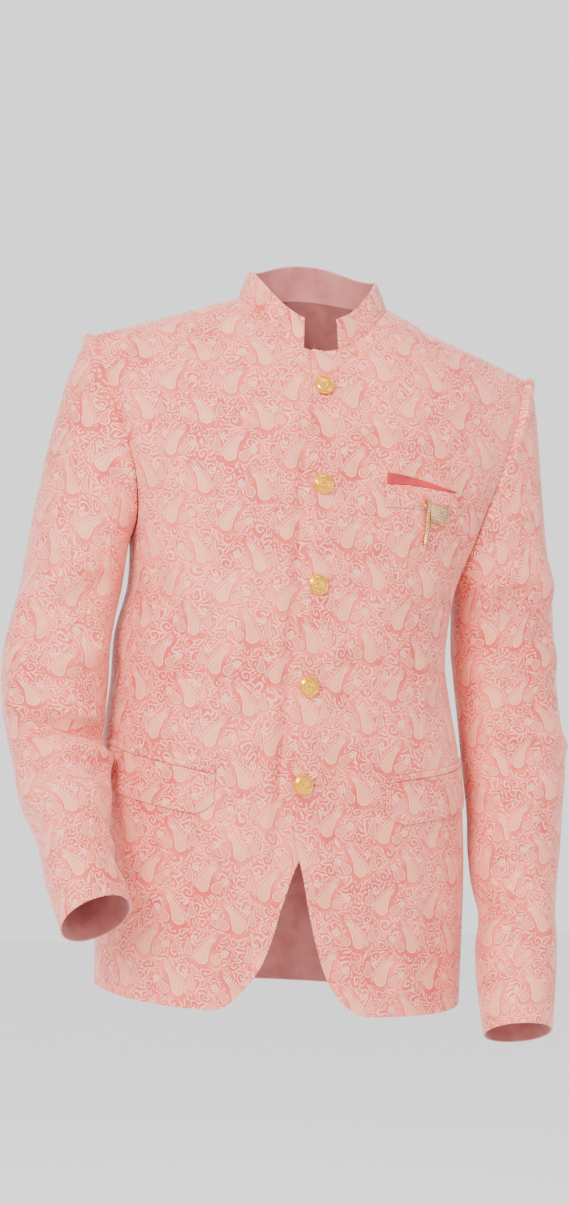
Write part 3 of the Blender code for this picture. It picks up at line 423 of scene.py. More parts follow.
@dataclass(frozen=True)
class BodySurface:
    """Surface of the body from hem to shoulder, which all of its panels follow."""

    chest: float = -268.0
    skirt: float = 450.0
    chest_tilt: float = 0.153
    squareness: float = 2.35
    front_cap: float = 2.0
    back_cap: float = 2.6
    back_neck_rise: float = 26.0
    neck_half_width: float = 75.5
    neck_front: float = 79.0
    neck_back: float = 56.0
    seam: float = 0.36
    step: float = 0.002
    overlap_lift: float = 2.9
    overlap_flat: float = 18.0
    overlap_fade: float = 38.0

    def place_of_height(self, height: Array) -> Array:
        """Turn a height on the centre line into the surface's own measure."""
        height = np.asarray(height, dtype=float)
        rise = np.clip(1 - height / self.chest, 0.0, 1.0)
        below = (height - self.chest) / self.skirt
        return np.where(height < self.chest, below, np.arcsin(rise) * 2 / math.pi)

    def rise_and_height(self, place: Array) -> tuple[Array, Array]:
        """Rise above the armpits and the height on the centre line at a place."""
        rise = np.sin(np.clip(place, 0.0, 1.0) * math.pi / 2)
        height = np.where(place < 0, self.chest + place * self.skirt, self.chest * (1 - rise))
        return rise, height

    def point(self, side: Side, girth: Array, place: Array) -> Array:
        """Points of the body.

        Args:
            side: The wearer's side.
            girth: 0 at the front centre and 1 at the back centre.
            place: -1 below the hem, 0 at the armpits and 1 on the shoulder line.

        Returns:
            The points, in millimetres.
        """
        girth, place = np.broadcast_arrays(np.asarray(girth, float), np.asarray(place, float))
        rise, height = self.rise_and_height(place)
        row = {name: smooth(LEVELS, "height", name, height) for name in Level._fields[1:]}
        angle = girth * math.pi
        across = power(np.sin(angle), 2 / self.squareness)
        forward = power(np.cos(angle), 2 / self.squareness)
        front_cap = (1 - rise ** self.front_cap) ** (1 / self.front_cap)
        back_cap = (1 - rise ** self.back_cap) ** (1 / self.back_cap)
        depth = np.where(forward > 0, row["front"] * front_cap, row["back"] * back_cap)
        x = row["centre_x"] + side * row["half_width"] * across
        x = x + row["turn"] * np.maximum(forward, 0.0) ** 2
        y = row["centre_y"] - depth * forward
        armpit = self.chest - self.chest_tilt * x
        near_neck = np.clip(1 - (x / self.neck_half_width) ** 2, 0.0, 1.0) ** 2
        top = smooth(SHOULDER_LINE, "x", "height", x)
        top = top + np.where(forward < 0, self.back_neck_rise * near_neck, 0.0)
        z = np.where(place < 0, height - row["tilt"] * x, armpit + (top - armpit) * rise)
        return np.stack([x, y, z], axis=-1)

    def frame(self, side: Side, girth: Array, place: Array) -> tuple[Array, Array, Array]:
        """Directions on the body: along the girth, up, and straight out."""
        girth, place = np.broadcast_arrays(np.asarray(girth, float), np.asarray(place, float))
        upper = np.minimum(place + self.step, 1.0)
        inside = np.minimum(place, 1 - self.step)
        along = unit(self.point(side, girth + self.step, inside)
                     - self.point(side, girth - self.step, inside))
        up = unit(self.point(side, girth, upper) - self.point(side, girth, upper - 2 * self.step))
        return along, up, unit(side * np.cross(along, up))

    def girth_at(self, side: Side, place: Array, distance: Array) -> Array:
        """Turn distances along the cloth from the front centre into places round the girth."""
        place = np.atleast_1d(np.asarray(place, dtype=float))
        distance = np.broadcast_to(np.asarray(distance, dtype=float), place.shape)
        samples = np.linspace(0.0, 1.0, 97)
        ring = self.point(side, samples[None, :], place[:, None])
        lengths = running_length(ring, axis=1)
        found = [np.interp(abs(d), row, samples) for d, row in zip(distance, lengths)]
        return np.sign(distance) * np.array(found)

    def girth_across(self, place: Array, x: Array) -> Array:
        """Place round the girth at a small sideways distance from the front centre."""
        half = smooth(LEVELS, "height", "half_width", self.rise_and_height(place)[1])
        share = np.clip(np.asarray(x) / half, -1.0, 1.0)
        return np.arcsin(power(share, self.squareness / 2)) / math.pi

    def cap_place(self, share: Array, back: bool) -> Array:
        """Place at which the body is a given share of its full depth."""
        cap = self.back_cap if back else self.front_cap
        return np.arcsin((1 - np.clip(share, 0.0, 1.0) ** cap) ** (1 / cap)) * 2 / math.pi

    def shoulder_place(self, back: bool) -> float:
        """Place of the shoulder seam, half a seam from the ridge."""
        depth = LEVELS[-1].back if back else LEVELS[-1].front
        return float(self.cap_place(self.seam / 2 / depth, back))

    def neckline(self, around: Array, back: bool) -> tuple[Array, Array]:
        """Girth and place of the neckline, from 0 degrees at the middle to 90 at the shoulder."""
        around = np.radians(around)
        x = self.neck_half_width * np.sin(around)
        y = (self.neck_back if back else self.neck_front) * np.cos(around)
        place = np.full(np.shape(around), 0.6)
        for _ in range(12):
            height = self.rise_and_height(place)[1]
            half = smooth(LEVELS, "height", "half_width", height)
            depth = smooth(LEVELS, "height", "back" if back else "front", height)
            along = (1 - np.abs(x / half) ** self.squareness) ** (1 / self.squareness)
            place = self.cap_place(y / (along * depth), back)
        place = np.minimum(place, self.shoulder_place(back))
        girth = self.girth_across(place, x)
        return (1 - girth if back else girth), place

    def armhole(self, turn: Array) -> tuple[Array, Array]:
        """Girth and place of the armhole: 0 degrees at the armpit, 90 in front, 180 on top."""
        turn = np.mod(turn, 360.0)
        front = turn <= 180
        key = np.where(front, turn, 360 - turn)
        rise = np.clip(smooth(ARMHOLE, "turn", "rise", key), 0.0, 1.0)
        girth = np.where(front, smooth(ARMHOLE, "turn", "front", key),
                         smooth(ARMHOLE, "turn", "back", key))
        return girth, np.arcsin(rise) * 2 / math.pi

    def armhole_turn_at(self, girth: float, back: bool) -> float:
        """Turn at which the armhole crosses a place round the girth."""
        turns = np.linspace(0, 90, 181)
        places = self.armhole(360 - turns if back else turns)[0]
        sign = 1 if back else -1
        return float(np.interp(sign * girth, sign * places, turns))

    def front_lift(self, side: Side, girth: Array, place: Array) -> Array:
        """How far the left front stands out where it lies on the right one."""
        if side is not Side.LEFT:
            return np.zeros(np.shape(girth))
        near = self.point(side, girth, place)[..., 0] - self.point(side, girth * 0, place)[..., 0]
        reach = self.overlap_fade - self.overlap_flat
        return self.overlap_lift * (1 - ease((near - self.overlap_flat) / reach))

    def lengths(self, side: Side, girth: Array, place: Array) -> tuple[Array, Array]:
        """Distances along the cloth.

        Args:
            side: The wearer's side.
            girth: Places round the girth.
            place: Places up the body.

        Returns:
            The distances from the centre front and up from the armpits, in millimetres.
        """
        girths, places = np.linspace(-0.1, 1.0, 111), np.linspace(-1.0, 1.0, 161)
        table = self.point(side, girths[None, :], places[:, None])
        across = running_length(table, axis=1)
        across = across - across[:, [10]]
        up = running_length(table, axis=0)
        up = up - up[[80], :]
        rows = (place + 1.0) * 80
        columns = (girth + 0.1) * 100
        return read_grid(across, rows, columns), read_grid(up, rows, columns)


@dataclass(frozen=True)
class SleeveSurface:
    """Surface of one sleeve, from its armhole to its cuff."""

    body: BodySurface
    side: Side
    head: float = 200.0
    squareness: float = 2.1
    armpit_bend: float = 122.0
    armpit_bend_fall: float = 1.3
    head_start: float = 0.36
    head_end: float = 1.4
    seam_turn_reach: float = 20.0
    seam_turn_bend: float = math.radians(60.0)
    fold_radius: float = 54.0
    fold_fade: float = 22.0
    roll_height: float = 6.5
    roll_reach: float = 17.0
    roll_width: float = 15.0
    crease_gain: float = 1.3

    @property
    def cuff(self) -> float:
        """Distance down the arm of the cuff's edge."""
        return SLEEVES[self.side][-1].reach

    def ring(self, turn: Array, reach: Array) -> Array:
        """Points of the sleeve's tube below its head."""
        rows = SLEEVES[self.side]

        def edge(prefix: str, at: Array) -> Array:
            """One edge of the sleeve at distances down the arm."""
            return np.stack([smooth(rows, "reach", prefix + "_x", at),
                             smooth(rows, "reach", "y", at),
                             smooth(rows, "reach", prefix + "_z", at)], axis=-1)

        low, high = np.maximum(reach - 4.0, 0.0), np.minimum(reach + 4.0, rows[-1].reach)
        axis = unit(edge("outer", high) + edge("inner", high)
                    - edge("outer", low) - edge("inner", low))
        outer, inner = edge("outer", reach), edge("inner", reach)
        half = (inner - outer) / 2
        depth = unit(np.cross(axis, half))
        size = smooth(rows, "reach", "half_depth", reach)[..., None]
        depth = depth * np.sign(-depth[..., 1:2]) * size
        angle = np.radians(turn)
        across = power(np.cos(angle), 2 / self.squareness)[..., None]
        forward = power(np.sin(angle), 2 / self.squareness)[..., None]
        return (outer + inner) / 2 + half * across + depth * forward

    def start(self, turn: Array) -> tuple[Array, Array, Array, Array]:
        """Where the sleeve leaves the armhole, its direction there, the body's and the bend."""
        side, body = self.side, self.body
        girth, place = body.armhole(turn)
        after, before = body.armhole(turn + 1.0), body.armhole(turn - 1.0)
        edge = unit(body.point(side, *after) - body.point(side, *before))
        out = body.frame(side, girth, place)[2]
        beyond = unit(side * np.cross(edge, out))
        inner = ((1 + np.cos(np.radians(turn))) / 2) ** self.armpit_bend_fall
        bend = np.radians(self.armpit_bend * inner)[..., None]
        leave = beyond * np.cos(bend) + out * np.sin(bend)
        gap = unit(beyond + out * (1 - np.cos(bend))) * body.seam
        return body.point(side, girth, place) + gap, leave, out, bend[..., 0]

    def plain(self, turn: Array, reach: Array) -> Array:
        """Points of the sleeve without its creases."""
        turn, reach = np.broadcast_arrays(np.asarray(turn, float), np.asarray(reach, float))
        tube = self.ring(turn, np.maximum(reach, 0.0))
        start, leave = self.start(turn)[:2]
        first = self.ring(turn, np.zeros(turn.shape))
        arrive = unit(self.ring(turn, np.full(turn.shape, 3.0)) - first)
        t = np.clip(1 + reach / self.head, 0.0, 1.0)[..., None]
        span = np.linalg.norm(first - start, axis=-1, keepdims=True)
        rise, fall = (1 + 2 * t) * (1 - t) ** 2, t * t * (3 - 2 * t)
        head = (rise * start + t * (1 - t) ** 2 * span * self.head_start * leave
                + fall * first - t * t * (1 - t) * span * self.head_end * arrive)
        return np.where((reach < 0)[..., None], head, tube)

    def creases(self, turn: Array, reach: Array) -> Array:
        """Height of the creases and of the roll at the sleeve head."""
        total = np.zeros(np.shape(turn))
        radius = self.fold_radius
        rows = tuple(row._replace(start_across=math.radians(row.start_across) * radius,
                                  end_across=math.radians(row.end_across) * radius)
                     for row in SLEEVE_CREASES[self.side])
        for lap in (-360.0, 0.0, 360.0):
            across = np.radians(turn + lap) * radius
            total = total + crease_height(rows, across, reach, self.fold_fade)
        total = total * ease((reach + self.head) / 60.0) * ease((self.cuff - reach) / 30.0)
        total = total * self.crease_gain
        near_top = ease((np.cos(np.radians(turn - 180.0)) + 0.1) / 0.8)
        off = (reach + self.head - self.roll_reach) / self.roll_width
        return total + self.roll_height * near_top * np.exp(-off ** 2) * ease(
            (reach + self.head) / 8.0)

    def point(self, turn: Array, reach: Array) -> tuple[Array, Array]:
        """Points of the sleeve and its directions straight out."""
        turn, reach = np.broadcast_arrays(np.asarray(turn, float), np.asarray(reach, float))
        low = np.maximum(reach - 1.0, -self.head)
        high = np.minimum(reach + 1.0, self.cuff)
        along = self.plain(turn + 1.0, reach) - self.plain(turn - 1.0, reach)
        down = self.plain(turn, high) - self.plain(turn, low)
        out = unit(self.side * np.cross(down, along))
        body_out, bend = self.start(turn)[2:]
        near = np.clip(1 - (reach + self.head) / self.seam_turn_reach, 0.0, 1.0)
        near = (near * np.clip(1 - bend / self.seam_turn_bend, 0.0, 1.0))[..., None]
        out = unit(out * (1 - near) + body_out * near)
        return self.plain(turn, reach) + out * self.creases(turn, reach)[..., None], out


class Field:
    """A number that changes over a surface, worked out by Math nodes."""

    def __init__(self, tree: bpy.types.NodeTree, socket: bpy.types.NodeSocket) -> None:
        """Keep the tree and the socket that gives the number."""
        self.tree = tree
        self.socket = socket

    def work(self, operation: str, *others: object) -> "Field":
        """Put this number and others through one Math node."""
        node = self.tree.nodes.new("ShaderNodeMath")
        node.operation = operation
        for index, value in enumerate((self, *others)):
            if isinstance(value, Field):
                self.tree.links.new(value.socket, node.inputs[index])
            else:
                node.inputs[index].default_value = value
        return Field(self.tree, node.outputs[0])

    def __add__(self, other: object) -> "Field":
        """Add a number."""
        return self.work("ADD", other)

    def __sub__(self, other: object) -> "Field":
        """Take a number away."""
        return self.work("SUBTRACT", other)

    def __mul__(self, other: object) -> "Field":
        """Multiply by a number."""
        return self.work("MULTIPLY", other)

    def __truediv__(self, other: object) -> "Field":
        """Divide by a number."""
        return self.work("DIVIDE", other)

    def size(self) -> "Field":
        """Drop the number's sign."""
        return self.work("ABSOLUTE")

    def root(self) -> "Field":
        """Square root."""
        return self.work("SQRT")

    def sine(self) -> "Field":
        """Sine of an angle in radians."""
        return self.work("SINE")

    def fraction(self) -> "Field":
        """Part after the whole number below."""
        return self.work("FRACT")

    def lower(self, other: object) -> "Field":
        """The lower of two numbers."""
        return self.work("MINIMUM", other)

    def higher(self, other: object) -> "Field":
        """The higher of two numbers."""
        return self.work("MAXIMUM", other)

    def flip(self) -> "Field":
        """1 less this number."""
        return (self * -1.0) + 1.0

    def between(self, start: float, end: float) -> "Field":
        """Go smoothly from 0 at one value to 1 at another.

        Args:
            start: Value that gives 0.
            end: Value that gives 1, above or below the other.

        Returns:
            The mask.
        """
        node = self.tree.nodes.new("ShaderNodeMapRange")
        node.interpolation_type = "SMOOTHSTEP"
        self.tree.links.new(self.socket, node.inputs["Value"])
        node.inputs["From Min"].default_value = min(start, end)
        node.inputs["From Max"].default_value = max(start, end)
        node.inputs["To Min"].default_value = 0.0 if end > start else 1.0
        node.inputs["To Max"].default_value = 1.0 if end > start else 0.0
        return Field(self.tree, node.outputs[0])


@dataclass(frozen=True)
class Drop:
    """A teardrop motif: its round end's centre, its lean to the right, its sizes and bend."""

    x: float
    y: float
    lean: float
    radius: float
    length: float
    bend: float
    taper: float = 0.75

    def fields(self, x: Field, y: Field) -> tuple[Field, Field, Field]:
        """Distance outside the drop, distance up it, and distance across its spine."""
        angle = math.radians(self.lean)
        dx, dy = x - self.x, y - self.y
        along = dx * math.sin(angle) + dy * math.cos(angle)
        across = dx * math.cos(angle) - dy * math.sin(angle)
        share = (along / self.length).higher(0.0).lower(1.0)
        bent = across - share * share * self.bend
        past = along.lower(0.0) + (along - self.length).higher(0.0)
        away = (bent * bent + past * past).root()
        radius = share.flip().work("POWER", self.taper) * self.radius
        return away - radius, along, bent


@dataclass(frozen=True)
class Curl:
    """A small spiral motif, as a ring with a dot in it."""

    x: float
    y: float
    radius: float

    def lines(self, x: Field, y: Field) -> Field:
        """Mask of the spiral's lines."""
        dx, dy = x - self.x, y - self.y
        away = (dx * dx + dy * dy).root()
        ring = (away - self.radius).size().between(0.75, 0.3)
        return ring.higher(away.between(self.radius * 0.5, self.radius * 0.3))


class ShaderGroup:
    """Makes shader node groups and their sockets."""

    def __init__(self, name: str) -> None:
        """Make an empty group."""
        self.tree = bpy.data.node_groups.new(name, "ShaderNodeTree")
        self.start = self.tree.nodes.new("NodeGroupInput")
        self.end = self.tree.nodes.new("NodeGroupOutput")

    def take(self, name: str, kind: str, value: object = None) -> bpy.types.NodeSocket:
        """Make an input socket and give its output inside the group."""
        made = self.tree.interface.new_socket(name, in_out="INPUT", socket_type=kind)
        if value is not None:
            made.default_value = value
        return self.start.outputs[name]

    def give(self, name: str, kind: str, socket: bpy.types.NodeSocket) -> None:
        """Make an output socket that puts out what a socket holds."""
        self.tree.interface.new_socket(name, in_out="OUTPUT", socket_type=kind)
        self.tree.links.new(socket, self.end.inputs[name])

    def node(self, kind: str, **values: object) -> bpy.types.Node:
        """Make a node and set its properties."""
        made = self.tree.nodes.new(kind)
        for name, value in values.items():
            setattr(made, name, value)
        return made

    def noise(self, vector: bpy.types.NodeSocket, scale: float, detail: float) -> Field:
        """A smooth noise of a given scale."""
        made = self.node("ShaderNodeTexNoise")
        self.tree.links.new(vector, made.inputs["Vector"])
        made.inputs["Scale"].default_value = scale
        made.inputs["Detail"].default_value = detail
        return Field(self.tree, made.outputs["Fac"])


@dataclass(frozen=True)
class PaisleyPattern:
    """Woven paisley repeat, in millimetres of cloth."""

    across: float = 60.0
    up: float = 71.0
    main: Drop = Drop(-3.0, -10.0, 16.0, 5.0, 24.0, 7.0, 1.15)
    partner: Drop = Drop(10.5, -10.5, 34.0, 3.3, 14.0, 5.0, 1.1)
    small: Drop = Drop(-16.5, -4.0, 20.0, 3.0, 10.0, -4.0, 1.1)
    partner_curl: Curl = Curl(20.0, -3.0, 3.0)
    small_curl: Curl = Curl(-10.6, 7.4, 2.8)
    rose_curl: Curl = Curl(-25.0, -18.0, 4.0)
    comb_pitch: float = 2.7
    scroll_across: float = 20.0
    scroll_up: float = 71.0 / 3
    scroll_pitch: float = 4.2
    scroll_ticks: float = 11.0
    stray: float = 3.2
    ground_stray: float = 15.0
    plume_start: float = 16.0
    plume_end: float = 30.0

    def motifs(self, x: Field, y: Field) -> tuple[Field, Field, Field, Field]:
        """Masks of one cell's motifs: cream fill, pale lines, rose lines and covered ground."""
        away, along, side = self.main.fields(x, y)
        fill = away.between(0.3, -0.4)
        inset = (away + 2.0).size().between(0.7, 0.2) * along.between(15.0, 12.0)
        outline = (away - 0.9).size().between(0.85, 0.35)
        ticks = (side.size() * -0.7 + along) * (2 * math.pi / self.comb_pitch)
        ticks = ticks.sine().between(-0.35, 0.35)
        comb = away.between(1.9, 2.3) * away.between(5.6, 4.9) * side.between(0.6, -0.6)
        comb = comb * along.between(-6.0, -3.5)
        spread = (along.flip() + (self.plume_end - 1.0)) * 0.34
        plume = (side.size() - spread).between(0.3, -0.3) * along.between(
            self.plume_start, self.plume_start + 3.0)
        plume = plume * side.size().between(0.3, 0.6)
        pale = ticks * comb.higher(plume)
        pale = pale.higher(outline * along.between(23.0, 20.0))
        rose = inset.higher((away - 2.0).size().between(0.7, 0.3) * comb.flip())
        covered = away.between(6.6, 5.6)
        for drop in (self.partner, self.small):
            away, along, side = drop.fields(x, y)
            hatch = ((along + side) * (2 * math.pi / 1.5)).sine().between(-0.6, 0.6)
            body = away.between(0.2, -0.3)
            fill = fill.higher(body * (hatch * 0.45 + 0.35))
            pale = pale.higher((away - 1.0).size().between(0.8, 0.3))
            rose = rose.higher((away - 0.1).size().between(0.5, 0.2))
            rose = rose.higher((away - 2.1).size().between(0.8, 0.3))
            covered = covered.higher(away.between(3.2, 2.4))
        for curl in (self.partner_curl, self.small_curl):
            pale = pale.higher(curl.lines(x, y))
        rose = rose.higher(self.rose_curl.lines(x, y))
        return fill, pale, rose, covered

    def cell(self, u: Field, v: Field, offset: float, mirror: float) -> tuple[Field, Field]:
        """Place within one cell of a lattice, from its middle."""
        x = ((u / self.across + offset).fraction() - 0.5) * (self.across * mirror)
        y = ((v / self.up + offset).fraction() - 0.5) * self.up
        return x, y

    def scrolls(self, u: Field, v: Field) -> tuple[Field, Field]:
        """Masks of the curled tendrils that fill the ground: pale leaves and rose stems."""
        pale, rose = None, None
        for offset, mirror in ((0.0, 1.0), (0.5, -1.0)):
            x = ((u / self.scroll_across + offset).fraction() - 0.5) * self.scroll_across * mirror
            y = ((v / self.scroll_up + offset).fraction() - 0.5) * self.scroll_up
            away = (x * x + y * y).root()
            turn = y.work("ARCTAN2", x)
            coil = (away * (2 * math.pi / self.scroll_pitch) - turn).sine()
            thread = coil.between(-0.3, -0.8) * away.between(7.0, 6.2)
            coil = coil.between(0.2, 0.8) * away.between(7.6, 6.6)
            leaf = (turn * self.scroll_ticks + away * 1.3).sine().between(0.0, 0.6)
            leaf = leaf * away.between(6.4, 7.0) * away.between(11.5, 10.0)
            leaf = leaf * (turn + away * 0.4).sine().between(-0.5, 0.1)
            leaf = leaf.higher(thread)
            pale = leaf if pale is None else pale.higher(leaf)
            rose = coil if rose is None else rose.higher(coil)
        return pale, rose

    def build(self) -> bpy.types.NodeTree:
        """Make the shader group.

        Returns:
            A group that takes the UV map in metres and gives the masks Fill, Pale, Rose and
            Relief.
        """
        group = ShaderGroup("paisley repeat")
        vector = group.take("Vector", "NodeSocketVector")
        bend = group.node("ShaderNodeTexNoise")
        bend.inputs["Scale"].default_value = 45.0
        bend.inputs["Detail"].default_value = 1.5
        group.tree.links.new(vector, bend.inputs["Vector"])
        apart = group.node("ShaderNodeSeparateXYZ")
        group.tree.links.new(vector, apart.inputs[0])
        stray = group.node("ShaderNodeSeparateXYZ")
        group.tree.links.new(bend.outputs["Color"], stray.inputs[0])
        u = Field(group.tree, apart.outputs["X"]) * 1000.0
        v = Field(group.tree, apart.outputs["Y"]) * 1000.0
        u = u + (Field(group.tree, stray.outputs["X"]) - 0.5) * self.stray
        v = v + (Field(group.tree, stray.outputs["Y"]) - 0.5) * self.stray
        fill, pale, rose, covered = self.motifs(*self.cell(u, v, 0.0, 1.0))
        for more in (self.motifs(*self.cell(u, v, 0.5, -1.0)),):
            fill, pale = fill.higher(more[0]), pale.higher(more[1])
            rose, covered = rose.higher(more[2]), covered.higher(more[3])
        wild_u = u + (Field(group.tree, stray.outputs["X"]) - 0.5) * self.ground_stray
        wild_v = v + (Field(group.tree, stray.outputs["Y"]) - 0.5) * self.ground_stray
        leaf, stem = self.scrolls(wild_u, wild_v)
        ground = covered.flip()
        pale = pale.higher(leaf * ground * 0.8)
        rose = rose.higher(stem * ground)
        relief = fill.higher(pale) - rose * 0.6
        for name, mask in (("Fill", fill), ("Pale", pale), ("Rose", rose), ("Relief", relief)):
            group.give(name, "NodeSocketFloat", mask.socket)
        return group.tree


def build_weave_group() -> bpy.types.NodeTree:
    """Make the fine weave: warp and weft threads of a few tenths of a millimetre.

    Returns:
        A group that takes the UV map in metres and a Pitch in metres, and gives Height and Tint.
    """
    group = ShaderGroup("fine weave")
    vector = group.take("Vector", "NodeSocketVector")
    pitch = group.take("Pitch", "NodeSocketFloat", 0.0008)
    apart = group.node("ShaderNodeSeparateXYZ")
    group.tree.links.new(vector, apart.inputs[0])
    threads = Field(group.tree, pitch)
    u = Field(group.tree, apart.outputs["X"]) / threads
    v = Field(group.tree, apart.outputs["Y"]) / threads
    weft = ((u + v * 0.5) * (2 * math.pi)).sine()
    warp = ((v - u * 0.25) * (2 * math.pi)).sine()
    height = weft * 0.35 + warp * 0.35 + 0.5
    slub = group.noise(vector, 900.0, 2.0)
    group.give("Height", "NodeSocketFloat", (height * 0.7 + slub * 0.6).socket)
    group.give("Tint", "NodeSocketFloat", (slub * 0.7 + height * 0.3).socket)
    return group.tree


def build_mottle_group() -> bpy.types.NodeTree:
    """Make painted satin sheen and shade: soft random patches that lighten and darken the cloth's
    colour.

    Returns:
        A group that takes a Vector in metres and gives two masks, both from 0 to 1: the painted
        sheen and shade patches, and a fine noise for wear and the stones' painted glints.
    """
    group = ShaderGroup("soft mottling")
    vector = group.take("Vector", "NodeSocketVector")
    broad = group.noise(vector, 9.0, 2.0)
    patches = group.noise(vector, 42.0, 2.5)
    # Painted sheen and shade: broad soft patches, high where the deep rose shade is painted in and
    # low where the lighter ground stands for satin sheen.
    shade = (broad * 0.45 + patches * 0.55).between(0.38, 0.64)
    group.give("Shade", "NodeSocketFloat", shade.socket)
    # Fine noise: wear in the cloth's roughness, and where the stones get their painted reflections.
    group.give("Wear", "NodeSocketFloat", group.noise(vector, 150.0, 4.0).between(0.45, 0.75).socket)
    return group.tree


def build_hollow_mask_group() -> bpy.types.NodeTree:
    """Make a mask for cast metal that is low in the hollows that ambient occlusion finds and varies
    in random spots.

    Returns:
        A group that takes a Vector in metres and gives the open-surface mask, from 0 to 1, and
        Grain.
    """
    group = ShaderGroup("cast metal hollow mask")
    vector = group.take("Vector", "NodeSocketVector")
    hollows = group.node("ShaderNodeAmbientOcclusion")
    hollows.inputs["Distance"].default_value = 0.0015
    open_sky = Field(group.tree, hollows.outputs["AO"]).between(0.25, 0.95)
    spots = group.noise(vector, 700.0, 3.0)
    group.give("Open Share", "NodeSocketFloat", (open_sky * (spots * 0.4 + 0.75)).lower(1.0).socket)
    group.give("Grain", "NodeSocketFloat", group.noise(vector, 2600.0, 2.0).socket)
    return group.tree


Colour = tuple[float, float, float]


def linear(red: int, green: int, blue: int) -> Colour:
    """Turn a colour of 0 to 255 into the linear one that shaders use."""
    def one(value: int) -> float:
        """Turn one channel."""
        share = value / 255
        return share / 12.92 if share <= 0.04045 else ((share + 0.055) / 1.055) ** 2.4
    return one(red), one(green), one(blue)


class Groups:
    """The shader groups, each made once."""

    def __init__(self) -> None:
        """Make the groups."""
        self.paisley = PaisleyPattern().build()
        self.weave = build_weave_group()
        self.mottle = build_mottle_group()
        self.tarnish = build_hollow_mask_group()


class Finish:
    """Common steps of making one material."""

    def __init__(self, name: str) -> None:
        """Start a material with an empty tree but for its shader and output."""
        self.material = bpy.data.materials.new(name)
        self.material.use_nodes = True
        self.tree = self.material.node_tree
        self.shader = self.tree.nodes["Principled BSDF"]

    def group(self, tree: bpy.types.NodeTree, vector: bpy.types.NodeSocket) -> bpy.types.Node:
        """Place a shader group and feed it a vector."""
        made = self.tree.nodes.new("ShaderNodeGroup")
        made.node_tree = tree
        self.tree.links.new(vector, made.inputs["Vector"])
        return made

    def coordinates(self, name: str) -> bpy.types.NodeSocket:
        """Texture coordinates by name."""
        return self.tree.nodes.new("ShaderNodeTexCoord").outputs[name]

    def mix(self, mask: bpy.types.NodeSocket, low: object, high: object) -> bpy.types.NodeSocket:
        """Mix two colours, given or from sockets, by a mask."""
        made = self.tree.nodes.new("ShaderNodeMix")
        made.data_type = "RGBA"
        self.tree.links.new(mask, made.inputs[0])
        for socket, value in ((made.inputs[6], low), (made.inputs[7], high)):
            if isinstance(value, tuple):
                socket.default_value = (*value, 1.0)
            else:
                self.tree.links.new(value, socket)
        return made.outputs[2]

    def bump(self, height: bpy.types.NodeSocket, distance: float, strength: float,
             before: bpy.types.NodeSocket = None) -> bpy.types.NodeSocket:
        """Add a bump after another one."""
        made = self.tree.nodes.new("ShaderNodeBump")
        made.inputs["Distance"].default_value = distance
        made.inputs["Strength"].default_value = strength
        self.tree.links.new(height, made.inputs["Height"])
        if before is not None:
            self.tree.links.new(before, made.inputs["Normal"])
        return made.outputs["Normal"]

    def field(self, socket: bpy.types.NodeSocket) -> Field:
        """Work with a socket's number."""
        return Field(self.tree, socket)

    def feed(self, **sockets: bpy.types.NodeSocket) -> None:
        """Link sockets to the shader's inputs, with _ for a space in their names."""
        for name, socket in sockets.items():
            self.tree.links.new(socket, self.shader.inputs[name.replace("_", " ")])


@dataclass(frozen=True)
class Brocade:
    """Rose satin brocade with a cream paisley figure."""

    name: str
    ground: Colour = linear(242, 118, 98)
    # Deep rose of the cloth in shadow, painted in soft patches as shade; the darker weave threads
    # take it too.
    shade: Colour = linear(206, 62, 54)
    pale: Colour = linear(252, 190, 166)
    cream: Colour = linear(248, 192, 146)
    rose: Colour = linear(196, 66, 62)
    pale_strength: float = 0.85
    rose_strength: float = 0.6
    fill_strength: float = 0.5
    roughness_line: float = 0.42
    roughness_ground: float = 0.6
    sheen: float = 0.25
    relief: float = 0.00025

    def build(self, groups: Groups) -> bpy.types.Material:
        """Make the material."""
        made = Finish(self.name)
        uv = made.coordinates("UV")
        pattern = made.group(groups.paisley, uv)
        weave = made.group(groups.weave, uv)
        mottle = made.group(groups.mottle, made.coordinates("Object"))
        # Painted sheen and shade: soft random patches mix the ground colour with the shadow colour.
        colour = made.mix(mottle.outputs["Shade"], self.ground, self.shade)
        rose = made.field(pattern.outputs["Rose"]) * self.rose_strength
        pale = made.field(pattern.outputs["Pale"]) * self.pale_strength
        thread = made.field(weave.outputs["Tint"]) * 0.25
        colour = made.mix(rose.socket, colour, self.rose)
        colour = made.mix(pale.socket, colour, self.pale)
        fill = made.field(pattern.outputs["Fill"]) * self.fill_strength
        colour = made.mix(fill.socket, colour, self.cream)
        colour = made.mix(thread.socket, colour, self.shade)
        woven = made.field(pattern.outputs["Relief"]).higher(0.0)
        drop = self.roughness_line - self.roughness_ground
        roughness = woven * drop + made.field(mottle.outputs["Wear"]) * 0.06 + self.roughness_ground
        normal = made.bump(weave.outputs["Height"], 0.00008, 0.5)
        normal = made.bump(pattern.outputs["Relief"], self.relief, 0.8, normal)
        made.feed(Base_Color=colour, Roughness=roughness.socket, Normal=normal)
        made.shader.inputs["Sheen Weight"].default_value = self.sheen
        made.shader.inputs["Sheen Roughness"].default_value = 0.45
        made.shader.inputs["Specular IOR Level"].default_value = 0.35
        return made.material


